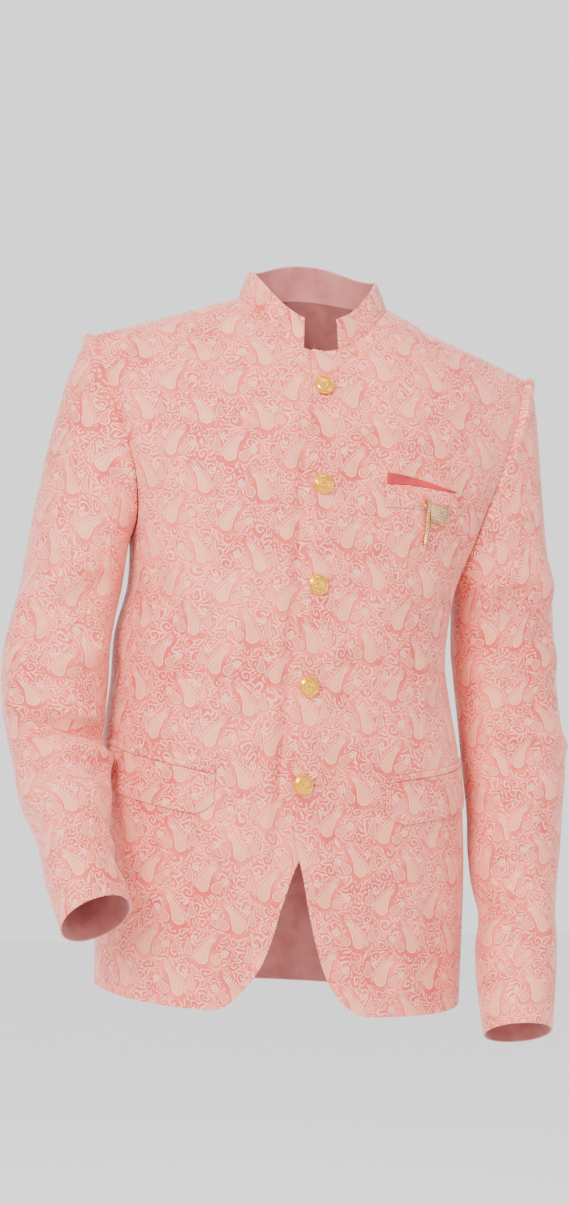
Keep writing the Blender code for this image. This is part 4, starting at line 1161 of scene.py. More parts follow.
@dataclass(frozen=True)
class PlainCloth:
    """Plain woven cloth: the brocade's back, the folded satin square or a sewing thread."""

    name: str
    colour: Colour
    # Colour of the cloth in shadow, painted in soft patches as shade; the darker weave threads take
    # it too.
    shade: Colour
    roughness: float = 0.6
    sheen: float = 0.2
    pitch: float = 0.0009
    depth: float = 0.0001

    def build(self, groups: Groups) -> bpy.types.Material:
        """Make the material."""
        made = Finish(self.name)
        weave = made.group(groups.weave, made.coordinates("UV"))
        weave.inputs["Pitch"].default_value = self.pitch
        mottle = made.group(groups.mottle, made.coordinates("Object"))
        # Painted sheen and shade: soft random patches mix the cloth's colour with its shadow colour.
        colour = made.mix(mottle.outputs["Shade"], self.colour, self.shade)
        thread = made.field(weave.outputs["Tint"]) * 0.3
        colour = made.mix(thread.socket, colour, self.shade)
        roughness = made.field(mottle.outputs["Wear"]) * 0.08 + self.roughness
        normal = made.bump(weave.outputs["Height"], self.depth, 0.6)
        made.feed(Base_Color=colour, Roughness=roughness.socket, Normal=normal)
        made.shader.inputs["Sheen Weight"].default_value = self.sheen
        return made.material


@dataclass(frozen=True)
class CastMetal:
    """Gilt metal with dull hollows."""

    name: str
    bright: Colour
    dull: Colour
    roughness: float = 0.22
    dull_roughness: float = 0.5

    def build(self, groups: Groups) -> bpy.types.Material:
        """Make the material."""
        made = Finish(self.name)
        open_mask = made.group(groups.tarnish, made.coordinates("Object"))
        # Darker, rougher colour in the hollows that ambient occlusion finds and in random spots.
        colour = made.mix(open_mask.outputs["Open Share"], self.dull, self.bright)
        drop = self.roughness - self.dull_roughness
        roughness = made.field(open_mask.outputs["Open Share"]) * drop + self.dull_roughness
        normal = made.bump(open_mask.outputs["Grain"], 0.00005, 0.4)
        made.feed(Base_Color=colour, Roughness=roughness.socket, Normal=normal)
        made.shader.inputs["Metallic"].default_value = 1.0
        return made.material


@dataclass(frozen=True)
class CutStone:
    """Clear foiled stone, with reflections painted in as dark glint patches."""

    name: str
    colour: Colour
    glint: Colour

    def build(self, groups: Groups) -> bpy.types.Material:
        """Make the material."""
        made = Finish(self.name)
        mottle = made.group(groups.mottle, made.coordinates("Object"))
        # Painted reflections: fine noise patches mix the dark glint colour into the stone's colour.
        colour = made.mix(mottle.outputs["Wear"], self.colour, self.glint)
        made.feed(Base_Color=colour)
        made.shader.inputs["Roughness"].default_value = 0.05
        made.shader.inputs["Metallic"].default_value = 0.55
        made.shader.inputs["Coat Weight"].default_value = 1.0
        made.shader.inputs["Coat Roughness"].default_value = 0.02
        return made.material


@dataclass
class Palette:
    """Every material of the jacket."""

    brocade: bpy.types.Material
    reverse: bpy.types.Material
    satin: bpy.types.Material
    thread: bpy.types.Material
    slit: bpy.types.Material
    gold: bpy.types.Material
    brooch_gold: bpy.types.Material
    stone: bpy.types.Material

    @classmethod
    def build(cls) -> "Palette":
        """Make the groups and the materials."""
        groups = Groups()
        return cls(
            brocade=Brocade("rose paisley brocade").build(groups),
            reverse=PlainCloth("brocade reverse", linear(196, 118, 112),
                               linear(168, 88, 86)).build(groups),
            satin=PlainCloth("red satin", linear(205, 0, 22), linear(140, 0, 14),
                             roughness=0.42, sheen=0.1, pitch=0.0005).build(groups),
            thread=PlainCloth("rose thread", linear(240, 168, 156), linear(214, 122, 116),
                              roughness=0.5).build(groups),
            slit=PlainCloth("buttonhole thread", linear(150, 70, 66),
                            linear(110, 44, 44)).build(groups),
            gold=CastMetal("button gold", linear(246, 178, 52), linear(128, 70, 10)).build(groups),
            brooch_gold=CastMetal("brooch gold", linear(206, 146, 84),
                                  linear(104, 60, 30)).build(groups),
            stone=CutStone("clear stone", linear(206, 208, 198), linear(70, 74, 66)).build(groups),
        )


def add_object(name: str, mesh: bpy.types.Mesh, materials: Sequence[bpy.types.Material]
               ) -> bpy.types.Object:
    """Link a mesh into the scene as a piece at the origin.

    Args:
        name: Name of the piece.
        mesh: Its mesh, in metres.
        materials: Its materials, in the order of its faces' indices.

    Returns:
        The object.
    """
    item = bpy.data.objects.new(name, mesh)
    bpy.context.scene.collection.objects.link(item)
    for material in materials:
        mesh.materials.append(material)
    return item


def settle(item: bpy.types.Object, slot: str, *nodes: str) -> bpy.types.Object:
    """Make a piece ride on the body, stand for its nodes and log its record slot."""
    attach(item, BODY)
    if nodes:
        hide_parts(*nodes)
    faces = len(item.data.polygons)
    LOG.info("%s: %d faces, slot %s, stands for %s", item.name, faces, slot, ", ".join(nodes) or "-")
    return item


class GeometryTree:
    """Makes geometry node trees that end in Realize Instances and Set Material."""

    def __init__(self, name: str) -> None:
        """Make a tree that takes and gives a geometry."""
        self.tree = bpy.data.node_groups.new(name, "GeometryNodeTree")
        self.tree.interface.new_socket("Geometry", in_out="INPUT",
                                       socket_type="NodeSocketGeometry")
        self.tree.interface.new_socket("Geometry", in_out="OUTPUT",
                                       socket_type="NodeSocketGeometry")
        self.start = self.tree.nodes.new("NodeGroupInput")
        self.end = self.tree.nodes.new("NodeGroupOutput")

    def take(self, name: str, kind: str) -> bpy.types.NodeSocket:
        """Make a named input."""
        self.tree.interface.new_socket(name, in_out="INPUT", socket_type=kind)
        return self.start.outputs[name]

    def node(self, kind: str, inputs: dict = None, **values: object) -> bpy.types.Node:
        """Make a node, set its properties and feed its inputs.

        Args:
            kind: The node's type.
            inputs: Values or sockets by input name.
            values: Properties of the node.

        Returns:
            The node.
        """
        made = self.tree.nodes.new(kind)
        for name, value in values.items():
            setattr(made, name, value)
        for name, value in (inputs or {}).items():
            if isinstance(value, bpy.types.NodeSocket):
                self.tree.links.new(value, made.inputs[name])
            else:
                made.inputs[name].default_value = value
        return made

    def finish(self, geometry: bpy.types.NodeSocket) -> bpy.types.NodeTree:
        """Realize the instances, set the material and close the tree."""
        material = self.take("Material", "NodeSocketMaterial")
        real = self.node("GeometryNodeRealizeInstances", {"Geometry": geometry})
        dressed = self.node("GeometryNodeSetMaterial",
                            {"Geometry": real.outputs[0], "Material": material})
        self.tree.links.new(dressed.outputs[0], self.end.inputs[0])
        return self.tree


def build_bead_ring() -> bpy.types.NodeTree:
    """Make the tree that sets stretched beads round a circle, for rims and rosettes."""
    tree = GeometryTree("bead ring")
    count = tree.take("Count", "NodeSocketInt")
    radius = tree.take("Ring Radius", "NodeSocketFloat")
    size = tree.take("Bead Size", "NodeSocketVector")
    lift = tree.take("Lift", "NodeSocketVector")
    lean = tree.take("Lean", "NodeSocketFloat")
    circle = tree.node("GeometryNodeMeshCircle", {"Vertices": count, "Radius": radius})
    bead = tree.node("GeometryNodeMeshUVSphere", {"Segments": 10, "Rings": 6, "Radius": 1.0})
    shape = tree.node("GeometryNodeSetShadeSmooth", {"Geometry": bead.outputs["Mesh"]})
    place = tree.node("GeometryNodeInputPosition")
    aim = tree.node("FunctionNodeAlignEulerToVector", {"Vector": place.outputs[0]}, axis="X")
    turn = tree.node("ShaderNodeCombineXYZ", {"Z": lean})
    twist = tree.node("FunctionNodeRotateEuler", {"Rotation": aim.outputs[0],
                                                  "Rotate By": turn.outputs[0]}, space="LOCAL")
    beads = tree.node("GeometryNodeInstanceOnPoints", {
        "Points": circle.outputs[0], "Instance": shape.outputs[0],
        "Rotation": twist.outputs[0], "Scale": size})
    lifted = tree.node("GeometryNodeTransform", {"Geometry": beads.outputs[0],
                                                 "Translation": lift})
    return tree.finish(lifted.outputs[0])


def build_stitch_row() -> bpy.types.NodeTree:
    """Make the tree that lays stitches along the edges of a line."""
    tree = GeometryTree("stitch row")
    pitch = tree.take("Pitch", "NodeSocketFloat")
    size = tree.take("Stitch Size", "NodeSocketVector")
    curve = tree.node("GeometryNodeMeshToCurve", {"Mesh": tree.start.outputs["Geometry"]})
    steps = tree.node("GeometryNodeResampleCurve", {"Curve": curve.outputs[0], "Length": pitch},
                      mode="LENGTH")
    way = tree.node("GeometryNodeInputTangent")
    aim = tree.node("FunctionNodeAlignEulerToVector", {"Vector": way.outputs[0]}, axis="X")
    thread = tree.node("GeometryNodeMeshUVSphere", {"Segments": 6, "Rings": 5, "Radius": 1.0})
    shape = tree.node("GeometryNodeSetShadeSmooth", {"Geometry": thread.outputs["Mesh"]})
    row = tree.node("GeometryNodeInstanceOnPoints", {
        "Points": steps.outputs[0], "Instance": shape.outputs[0],
        "Rotation": aim.outputs[0], "Scale": size})
    return tree.finish(row.outputs[0])


def build_stone_setting() -> bpy.types.NodeTree:
    """Make the tree that sets a faceted stone on every point, sized by the point's attribute."""
    tree = GeometryTree("stone setting")
    flatten = tree.take("Flatten", "NodeSocketFloat")
    sides = tree.take("Sides", "NodeSocketInt")
    points = tree.node("GeometryNodeMeshToPoints", {"Mesh": tree.start.outputs["Geometry"]})
    size = tree.node("GeometryNodeInputNamedAttribute", {"Name": "size"}, data_type="FLOAT")
    cut = tree.node("GeometryNodeMeshCone", {"Vertices": sides, "Radius Top": 0.55,
                                             "Radius Bottom": 1.0, "Depth": flatten})
    scale = tree.node("ShaderNodeCombineXYZ", {"X": size.outputs[0], "Y": size.outputs[0],
                                               "Z": size.outputs[0]})
    turn = tree.node("FunctionNodeRandomValue", {"Seed": 7}, data_type="FLOAT_VECTOR")
    turn.inputs[0].default_value = (-0.12, -0.12, 0.0)
    turn.inputs[1].default_value = (0.12, 0.12, 3.0)
    stones = tree.node("GeometryNodeInstanceOnPoints", {
        "Points": points.outputs[0], "Instance": cut.outputs[0],
        "Rotation": turn.outputs[0], "Scale": scale.outputs[0]})
    return tree.finish(stones.outputs[0])


def run_tree(tree: bpy.types.NodeTree, mesh: bpy.types.Mesh, values: dict) -> bpy.types.Mesh:
    """Run a geometry node tree on a mesh.

    Args:
        tree: The tree.
        mesh: The mesh that it starts from.
        values: The tree's named inputs.

    Returns:
        The result as a plain mesh.
    """
    holder = bpy.data.objects.new("holder", mesh)
    bpy.context.scene.collection.objects.link(holder)
    change = holder.modifiers.new("nodes", "NODES")
    change.node_group = tree
    for item in tree.interface.items_tree:
        if item.item_type == "SOCKET" and item.in_out == "INPUT" and item.name in values:
            change[item.identifier] = values[item.name]
    graph = bpy.context.evaluated_depsgraph_get()
    graph.update()
    result = bpy.data.meshes.new_from_object(holder.evaluated_get(graph), depsgraph=graph)
    holder.modifiers.remove(change)
    bpy.data.objects.remove(holder)
    return result


def line_mesh(points: Array) -> bpy.types.Mesh:
    """Make a mesh of one open line through points in millimetres."""
    mesh = bpy.data.meshes.new("line")
    edges = [(index, index + 1) for index in range(len(points) - 1)]
    mesh.from_pydata((np.asarray(points) * MM).tolist(), edges, [])
    return mesh


def move_mesh(mesh: bpy.types.Mesh, origin: Array, axes: Sequence[Array]) -> None:
    """Place a mesh, in metres, by an origin in millimetres and its three directions."""
    flat = np.empty(len(mesh.vertices) * 3)
    mesh.vertices.foreach_get("co", flat)
    local = flat.reshape(-1, 3)
    placed = local @ np.array(axes) + np.asarray(origin) * MM
    mesh.vertices.foreach_set("co", placed.ravel())
    mesh.update()


def merge_meshes(name: str, meshes: Sequence[bpy.types.Mesh],
                 materials: Sequence[bpy.types.Material]) -> bpy.types.Object:
    """Join meshes into one piece, each with its own material of the list.

    Args:
        name: Name of the piece.
        meshes: Meshes in metres.
        materials: One material for each mesh.

    Returns:
        The piece.
    """
    kinds = list(dict.fromkeys(materials))
    shape = bmesh.new()
    for mesh, material in zip(meshes, materials):
        first = len(shape.faces)
        shape.from_mesh(mesh)
        shape.faces.ensure_lookup_table()
        for face in shape.faces[first:]:
            face.material_index = kinds.index(material)
            face.smooth = True
    made = bpy.data.meshes.new(name)
    shape.to_mesh(made)
    shape.free()
    made.set_sharp_from_angle(angle=math.radians(38))
    return add_object(name, made, kinds)


def turned_mesh(profile: Sequence[TurnedPoint], sides: int) -> bpy.types.Mesh:
    """Make a closed turned body whose axis is Z, from a profile that starts and ends on it."""
    turns = np.linspace(0, 2 * math.pi, sides, endpoint=False)
    points = [(0.0, 0.0, profile[0].out)]
    for corner in profile[1:-1]:
        points += [(corner.radius * math.cos(t), corner.radius * math.sin(t), corner.out)
                   for t in turns]
    points.append((0.0, 0.0, profile[-1].out))
    rings = len(profile) - 2
    last = len(points) - 1
    faces = []
    for step in range(sides):
        following = (step + 1) % sides
        faces.append((0, 1 + following, 1 + step))
        top = 1 + (rings - 1) * sides
        faces.append((last, top + step, top + following))
        for ring in range(rings - 1):
            low, high = 1 + ring * sides, 1 + (ring + 1) * sides
            faces.append((low + step, low + following, high + following, high + step))
    mesh = bpy.data.meshes.new("turned")
    mesh.from_pydata((np.array(points) * MM).tolist(), [], faces)
    mesh.update()
    return mesh


@dataclass
class ClothShell:
    """One cut piece of cloth: a thin closed wall on a grid of points.

    The four edges are the first row, the last row, the first column and the last column.
    """

    name: str
    outer: Array
    out: Array
    uv: Array
    edges: tuple[Edge, Edge, Edge, Edge]
    thickness: float = 2.0
    seam_depth: float = 0.75
    seam_spread: float = 3.4
    seam_lap: float = 0.27

    def edge_distances(self) -> tuple[Array, Array, Array, Array]:
        """Distance of every point from the four edges."""
        up = running_length(self.outer, axis=0)
        along = running_length(self.outer, axis=1)
        return up, up[-1:] - up, along, along[:, -1:] - along

    def close_seams(self) -> None:
        """Move the outermost points at each seam out by half the gap to the next piece."""
        grid = self.outer
        edges = ((grid[0], grid[1]), (grid[-1], grid[-2]), (grid[:, 0], grid[:, 1]),
                 (grid[:, -1], grid[:, -2]))
        for (edge, inside), kind in zip(edges, self.edges):
            if kind is Edge.SEAM:
                edge += unit(edge - inside) * self.seam_lap

    def shape(self) -> tuple[Array, Array]:
        """Outer and inner points, dipped at seams and rounded at turned edges."""
        self.close_seams()
        drop = np.zeros(self.outer.shape[:2])
        rise = np.zeros(self.outer.shape[:2])
        radius = self.thickness * 0.45
        for distance, kind in zip(self.edge_distances(), self.edges):
            if kind is Edge.SEAM:
                dip = self.seam_depth * (1 - ease(distance / self.seam_spread)) ** 1.5
                drop = np.maximum(drop, dip)
            else:
                near = np.clip(1 - distance / radius, 0.0, 1.0)
                rounding = radius * (1 - np.sqrt(1 - near ** 2))
                drop, rise = np.maximum(drop, rounding), np.maximum(rise, rounding)
        outer = self.outer - self.out * drop[..., None]
        inner = self.outer - self.out * (self.thickness - rise)[..., None]
        return outer, inner

    def build(self, face: bpy.types.Material, back: bpy.types.Material) -> bpy.types.Object:
        """Make the piece.

        Args:
            face: Material of the outer side and the edges.
            back: Material of the inner side.

        Returns:
            The object.
        """
        outer, inner = self.shape()
        rows, columns = outer.shape[:2]
        count = rows * columns
        index = np.arange(count).reshape(rows, columns)
        quads = np.stack([index[:-1, :-1], index[:-1, 1:], index[1:, 1:], index[1:, :-1]],
                         axis=-1).reshape(-1, 4)
        rim = np.concatenate([index[0, :-1], index[:-1, -1], index[-1, :0:-1], index[:0:-1, 0]])
        following = np.roll(rim, -1)
        walls = np.stack([following, rim, rim + count, following + count], axis=-1)
        faces = np.concatenate([quads, quads[:, ::-1] + count, walls])
        points = np.concatenate([outer.reshape(-1, 3), inner.reshape(-1, 3)]) * MM
        centre = np.cross(outer[0, 1] - outer[0, 0], outer[1, 0] - outer[0, 0])
        if np.dot(centre, self.out[0, 0]) < 0:
            faces = faces[:, ::-1]
        mesh = bpy.data.meshes.new(self.name)
        mesh.from_pydata(points.tolist(), [], faces.tolist())
        kinds = np.zeros(len(faces), dtype=np.int32)
        kinds[len(quads):2 * len(quads)] = 1
        mesh.polygons.foreach_set("material_index", kinds)
        layer = mesh.uv_layers.new(name="cloth")
        flat = np.tile(self.uv.reshape(-1, 2) * MM, (2, 1))
        layer.data.foreach_set("uv", flat[faces.ravel()].ravel().astype(np.float32))
        mesh.update()
        mesh.shade_smooth()
        mesh.set_sharp_from_angle(angle=math.radians(50))
        return add_object(self.name, mesh, (face, back))

    def cut(self) -> tuple[float, float, float]:
        """Width, length and area of the flat cut, in metres and square metres."""
        width = running_length(self.outer, axis=1)[:, -1].max() * MM
        length = running_length(self.outer, axis=0)[-1].max() * MM
        down = np.diff(self.outer, axis=0)[:, :-1]
        along = np.diff(self.outer, axis=1)[:-1]
        area = np.linalg.norm(np.cross(down, along), axis=-1).sum() * MM * MM
        return float(width), float(length), float(area)


def declare_sheet(item: bpy.types.Object, shell: ClothShell) -> None:
    """Log that a piece is a sheet of cloth, with the size of its flat cut.

    Every piece is only logged; a strip narrower than the narrowest sheet is logged as too narrow,
    with its true size.
    """
    width, length, area = shell.cut()
    if min(width, length) < NARROWEST_SHEET:
        LOG.info("%s: flat %.0f x %.1f mm, %.5f square metres, too narrow to state as a sheet",
                 item.name, width * 1000, length * 1000, area)
        return
    LOG.info("%s: flat %.0f x %.0f mm, %.5f square metres", item.name, width * 1000,
             length * 1000, area)


def fine_places(count: int, span: float, near: Sequence[float] = (0.35, 0.8, 1.5, 2.4, 3.6)
                ) -> Array:
    """Shares from 0 to 1 that are even in the middle and close together at both ends.

    Args:
        count: Number of even steps.
        span: Length of cloth that the shares cover, in millimetres.
        near: Distances from each end that get a step of their own.

    Returns:
        The shares.
    """
    ends = np.array(near) / span
    middle = np.linspace(0.0, 1.0, count + 1)
    middle = middle[(middle > ends[-1] * 1.3) & (middle < 1 - ends[-1] * 1.3)]
    return np.concatenate([[0.0], ends, middle, 1 - ends[::-1], [1.0]])


def resample(grid: Array, rows: Array, columns: Array) -> Array:
    """Read a grid again at given shares of its rows and columns."""
    row = (rows * (grid.shape[0] - 1))[:, None]
    column = (columns * (grid.shape[1] - 1))[None, :]
    row, column = np.broadcast_arrays(row, column)
    return read_grid(grid, row, column)


@dataclass(frozen=True)
class BodyCut:
    """Where the body is cut into panels, and how finely each is built."""

    surface: BodySurface
    side_front: float = 0.43
    side_back: float = 0.585
    seam_share: float = 0.0004
    front_corner: float = -697.0
    hem_drop: float = 14.0
    hem_round: float = 0.13
    hem_side_rise: float = 8.0
    hem_fade: float = 0.25
    back_hem: float = -703.0
    front_chest: float = -172.0
    back_chest: float = -160.0
    neck_pit: float = -49.5
    collar_gap: float = 17.0
    fore_seam: float = 72.0
    hind_seam: float = 292.0
    skirt_rows: int = 48
    neck_rows: int = 21
    lap_rows: int = 3
    top_rows: int = 24
    low_rows: int = 9

    def hem_height(self, share: Array) -> Array:
        """Height of the hem across a front, from its rounded front corner to the side."""
        rounding = 1 - np.clip(1 - share / self.hem_round, 0.0, 1.0) ** 2
        return self.front_corner - self.hem_drop * rounding + self.hem_side_rise * share ** 2

    def armhole_turns(self, back: bool) -> Array:
        """Turns of a panel's rows round the armhole, from its side seam to the top."""
        girth = self.side_back if back else self.side_front
        low = self.surface.armhole_turn_at(girth, back)
        seam = 360 - self.hind_seam if back else self.fore_seam
        return np.concatenate([np.linspace(low, seam, self.low_rows + 1),
                               np.linspace(seam, 180.0, self.top_rows + 1)[1:]])

    def spread(self, first: Array, last: Array, across: Array) -> Array:
        """Mix two edges of a panel over its columns."""
        return first[:, None] * (1 - across) + last[:, None] * across

    def spread_girth(self, first: Array, last: Array, across: Array) -> Array:
        """Mix two edges' girths so that columns are about evenly apart along the cloth."""
        samples = np.linspace(-0.1, 1.0, 1101)
        sideways = power(np.sin(samples * math.pi), 2 / self.surface.squareness)
        forward = power(np.cos(samples * math.pi), 2 / self.surface.squareness)
        way = 1 - forward + np.where(samples < 0.5, sideways, 2 - sideways)
        way = np.where(samples < 0, sideways, way)
        mixed = self.spread(np.interp(first, samples, way), np.interp(last, samples, way), across)
        return np.interp(mixed, way, samples)

    def front(self, side: Side, across: Array) -> tuple[Array, Array]:
        """Girth and place over a front, from its hem to its shoulder seam."""
        surface = self.surface
        edge = side.word
        half = surface.neck_half_width
        first = math.degrees(math.asin(getattr(FRONT_EDGES[-1], edge) / half))
        low = math.degrees(math.asin(self.collar_gap / half))
        turns = np.concatenate([np.linspace(first, low, self.lap_rows + 1)[:-1],
                                np.linspace(low, 90.0, self.neck_rows + 1)])
        neck_girth, neck_place = surface.neckline(turns, back=False)
        arm_girth, arm_place = surface.armhole(self.armhole_turns(back=False))
        arm_place = np.minimum(arm_place, surface.shoulder_place(back=False))
        chest_rows = len(arm_girth) - len(neck_girth)
        heights = np.concatenate([
            edge_steps(self.front_corner, self.front_chest, self.skirt_rows),
            edge_steps(self.front_chest, self.neck_pit, chest_rows)])
        places = surface.place_of_height(heights)
        distance = smooth(FRONT_EDGES, "height", edge, heights)
        inner_girth = np.concatenate([surface.girth_at(side, places, distance), neck_girth])
        inner_place = np.concatenate([places, neck_place])
        hem = float(surface.place_of_height(self.hem_height(1.0)))
        seam_girth = self.side_front - self.seam_share
        outer_girth = np.concatenate([np.full(self.skirt_rows, seam_girth), arm_girth])
        outer_girth = np.minimum(outer_girth, seam_girth)
        outer_place = np.concatenate([edge_steps(hem, arm_place[0], self.skirt_rows), arm_place])
        across = across[None, :]
        girth = self.spread_girth(inner_girth, outer_girth, across)
        place = self.spread(inner_place, outer_place, across)
        straight = self.front_corner * (1 - across) + self.hem_height(1.0) * across
        share = np.arange(len(girth)) / self.skirt_rows / self.hem_fade
        fade = np.clip(1 - share, 0.0, 1.0)[:, None] ** 2
        return girth, place + (self.hem_height(across) - straight) / surface.skirt * fade

    def back(self, across: Array) -> tuple[Array, Array]:
        """Girth and place over a back, from its hem to its shoulder seam."""
        surface = self.surface
        turns = np.linspace(0.0, 90.0, self.neck_rows + 1)
        neck_girth, neck_place = surface.neckline(turns, back=True)
        just_behind = 180.001
        arm_turns = np.maximum(360 - self.armhole_turns(back=True), just_behind)
        arm_girth, arm_place = surface.armhole(arm_turns)
        arm_place = np.minimum(arm_place, surface.shoulder_place(back=True))
        chest_rows = len(arm_girth) - len(neck_girth)
        hem = float(surface.place_of_height(self.back_hem))
        chest = float(surface.place_of_height(self.back_chest))
        places = np.concatenate([edge_steps(hem, chest, self.skirt_rows),
                                 edge_steps(chest, neck_place[0], chest_rows)])
        inner_place = np.concatenate([places, neck_place])
        seam_edge = 1 - surface.girth_across(inner_place, surface.seam / 2)
        inner_girth = np.minimum(np.concatenate([np.ones(len(places)), neck_girth]), seam_edge)
        seam_girth = self.side_back + self.seam_share
        outer_girth = np.concatenate([np.full(self.skirt_rows, seam_girth), arm_girth])
        outer_girth = np.maximum(outer_girth, seam_girth)
        outer_place = np.concatenate([edge_steps(hem, arm_place[0], self.skirt_rows), arm_place])
        across = across[None, :]
        girth = self.spread_girth(inner_girth, outer_girth, across)
        return girth, self.spread(inner_place, outer_place, across)

    def flank(self, across: Array) -> tuple[Array, Array]:
        """Girth and place over a side panel, from its front to its back edge."""
        surface = self.surface
        front = surface.armhole_turn_at(self.side_front, back=False)
        back = surface.armhole_turn_at(self.side_back, back=True)
        top_girth, top_place = surface.armhole(front + (-back - front) * across)
        top_girth = np.clip(top_girth, self.side_front + self.seam_share,
                            self.side_back - self.seam_share)
        hem_girth = top_girth[0] + (top_girth[-1] - top_girth[0]) * across
        share = np.linspace(0.0, 1.0, self.skirt_rows + 1)[:, None]
        girth = hem_girth * (1 - share ** 3) + top_girth * share ** 3
        low = self.hem_height(1.0)
        hem = surface.place_of_height(low + (self.back_hem - low) * across)
        return girth, hem * (1 - share) + top_place * share


@dataclass
class Body:
    """The two fronts, side panels and backs."""

    palette: Palette
    cut: BodyCut
    rows: int = 150
    front_columns: int = 64
    side_columns: int = 20
    back_columns: int = 52
    crease_fade: float = 38.0
    edge_float: float = 3.2
    dart_share: float = 0.535
    dart_depth: float = 1.1
    dart_spread: float = 1.6
    pattern_shift: float = 23.0

    def creases(self, side: Side, girth: Array, place: Array) -> Array:
        """How far the creases and the loose front edge stand out."""
        across, up = self.cut.surface.lengths(side, girth, place)
        height = crease_height(BODY_CREASES[side], across, up, self.crease_fade)
        still = ease((up + 430.0) / 60.0) * 0.4 + 0.6
        height = height * still * ease((np.abs(across) - 6.0) / 26.0)
        top = self.cut.surface.shoulder_place(back=False)
        height = height * ease((top - place) / 0.25)
        arm_edge = ease((0.43 - girth) / 0.03) + ease((girth - 0.585) / 0.03)
        height = height * np.clip(arm_edge, 0.25, 1.0)
        if side is Side.LEFT:
            between = np.sin((up + 37.0) / 98.0 * math.pi) ** 2
            near = ease((14.0 - across) / 22.0)
            height = height + self.edge_float * between * near * ease((220.0 - up) / 40.0)
        return height

    def panel(self, name: str, side: Side, girth: Array, place: Array, rows: Array,
              columns: Array, edges: tuple[Edge, Edge, Edge, Edge], shift: float,
              dart: bool = False) -> ClothShell:
        """Make the shell of one panel from its coarse girth and place.

        Args:
            name: Name of the piece.
            side: The wearer's side.
            girth: Girths over the panel.
            place: Places over the panel.
            rows: Shares of the rows to build.
            columns: Shares of the columns to build.
            edges: How its edges are finished.
            shift: How far its pattern is shifted against its neighbour's.
            dart: True where it has a dart.

        Returns:
            The shell.
        """
        surface = self.cut.surface
        girth, place = resample(girth, rows, columns), resample(place, rows, columns)
        lift = surface.front_lift(side, girth, place) if name.startswith("front") else 0.0
        lift = lift + self.creases(side, girth, place)
        across, up = surface.lengths(side, girth, place)
        out = surface.frame(side, girth, place)[2]
        outer = surface.point(side, girth, place) + out * np.asarray(lift)[..., None]
        if dart:
            off = across - np.take_along_axis(
                across, np.full((len(rows), 1), int(np.argmin(abs(columns - self.dart_share)))), 1)
            length = ease((up + 205.0) / 20.0) * ease((2.0 - up) / 60.0)
            groove = self.dart_depth * np.exp(-(off / self.dart_spread) ** 2) * length
            outer = outer - out * groove[..., None]
        uv = np.stack([across * side + shift, up + shift * 1.7], axis=-1)
        return ClothShell(name, outer, out, uv, edges)

    def build(self) -> None:
        """Make every panel of the body."""
        seam, turned = Edge.SEAM, Edge.TURNED
        rows = fine_places(self.rows, 720.0)
        front = fine_places(self.front_columns, 240.0)
        offsets = np.array((-3.2, -2.2, -1.4, -0.7, 0.0, 0.7, 1.4, 2.2, 3.2)) / 200.0
        clear = np.abs(front - self.dart_share) > 0.018
        front = np.sort(np.concatenate([front[clear], self.dart_share + offsets]))
        coarse = np.linspace(0.0, 1.0, 41)
        flank = fine_places(self.side_columns, 75.0)
        back = fine_places(self.back_columns, 200.0)
        for side in Side:
            word = side.word
            girth, place = self.cut.front(side, coarse)
            shell = self.panel("front_" + word, side, girth, place, rows, front,
                               (turned, seam, turned, seam), 0.0, dart=True)
            self.finish(shell)
            girth, place = self.cut.flank(coarse)
            shell = self.panel("side_" + word, side, girth, place, rows, flank,
                               (turned, seam, seam, seam), self.pattern_shift)
            self.finish(shell)
            girth, place = self.cut.back(coarse)
            shell = self.panel("back_" + word, side, girth, place, rows, back,
                               (turned, seam, seam, seam), self.pattern_shift * 2)
            self.finish(shell)

    def finish(self, shell: ClothShell) -> None:
        item = shell.build(self.palette.brocade, self.palette.reverse)
        item.name = shell.name + "_cloth"
        settle(item, "brocade", shell.name)
        declare_sheet(item, shell)


@dataclass
class Sleeve:
    """One two-piece sleeve."""

    palette: Palette
    surface: SleeveSurface
    cut: BodyCut
    gap: float = 0.27
    head_rows: int = 40
    rows: int = 110
    upper_columns: int = 62
    under_columns: int = 40

    def piece(self, part: str, first: float, last: float, columns: int) -> None:
        """Make one piece of the sleeve between two seams, in degrees round the arm."""
        surface = self.surface
        turns = first + self.gap + (last - first - 2 * self.gap) * fine_places(columns, 190.0)
        head = fine_places(self.head_rows, 150.0)
        head = head[head < 0.985]
        down = fine_places(self.rows, surface.cuff)
        down = down[(down == 0) | (down > 0.012)]
        reach = np.concatenate([(head - 1) * surface.head, down * surface.cuff])
        outer, out = surface.point(turns[None, :], reach[:, None])
        plain = surface.plain(turns[None, :], reach[:, None])
        along = running_length(plain, axis=0)
        zero = int(np.argmin(np.abs(reach)))
        own = along - along[zero]
        shared = np.broadcast_to(own.mean(axis=1, keepdims=True), own.shape)
        up = np.where(reach[:, None] < 0, own, shared)
        middle = running_length(plain, axis=1)
        around = middle - middle[:, [len(turns) // 2]]
        width = np.where(reach[:, None] < 0, around[[zero]], around)
        uv = np.stack([width * surface.side, -up], axis=-1)
        edges = (Edge.SEAM, Edge.TURNED, Edge.SEAM, Edge.SEAM)
        name = f"sleeve_{part}_{surface.side.word}"
        shell = ClothShell(name, outer, out, uv, edges)
        item = shell.build(self.palette.brocade, self.palette.reverse)
        item.name = name + "_cloth"
        settle(item, "brocade", name)
        declare_sheet(item, shell)

    def build(self) -> None:
        """Make the upper and the under piece."""
        self.piece("upper", self.cut.fore_seam, self.cut.hind_seam, self.upper_columns)
        self.piece("under", self.cut.hind_seam - 360.0, self.cut.fore_seam, self.under_columns)


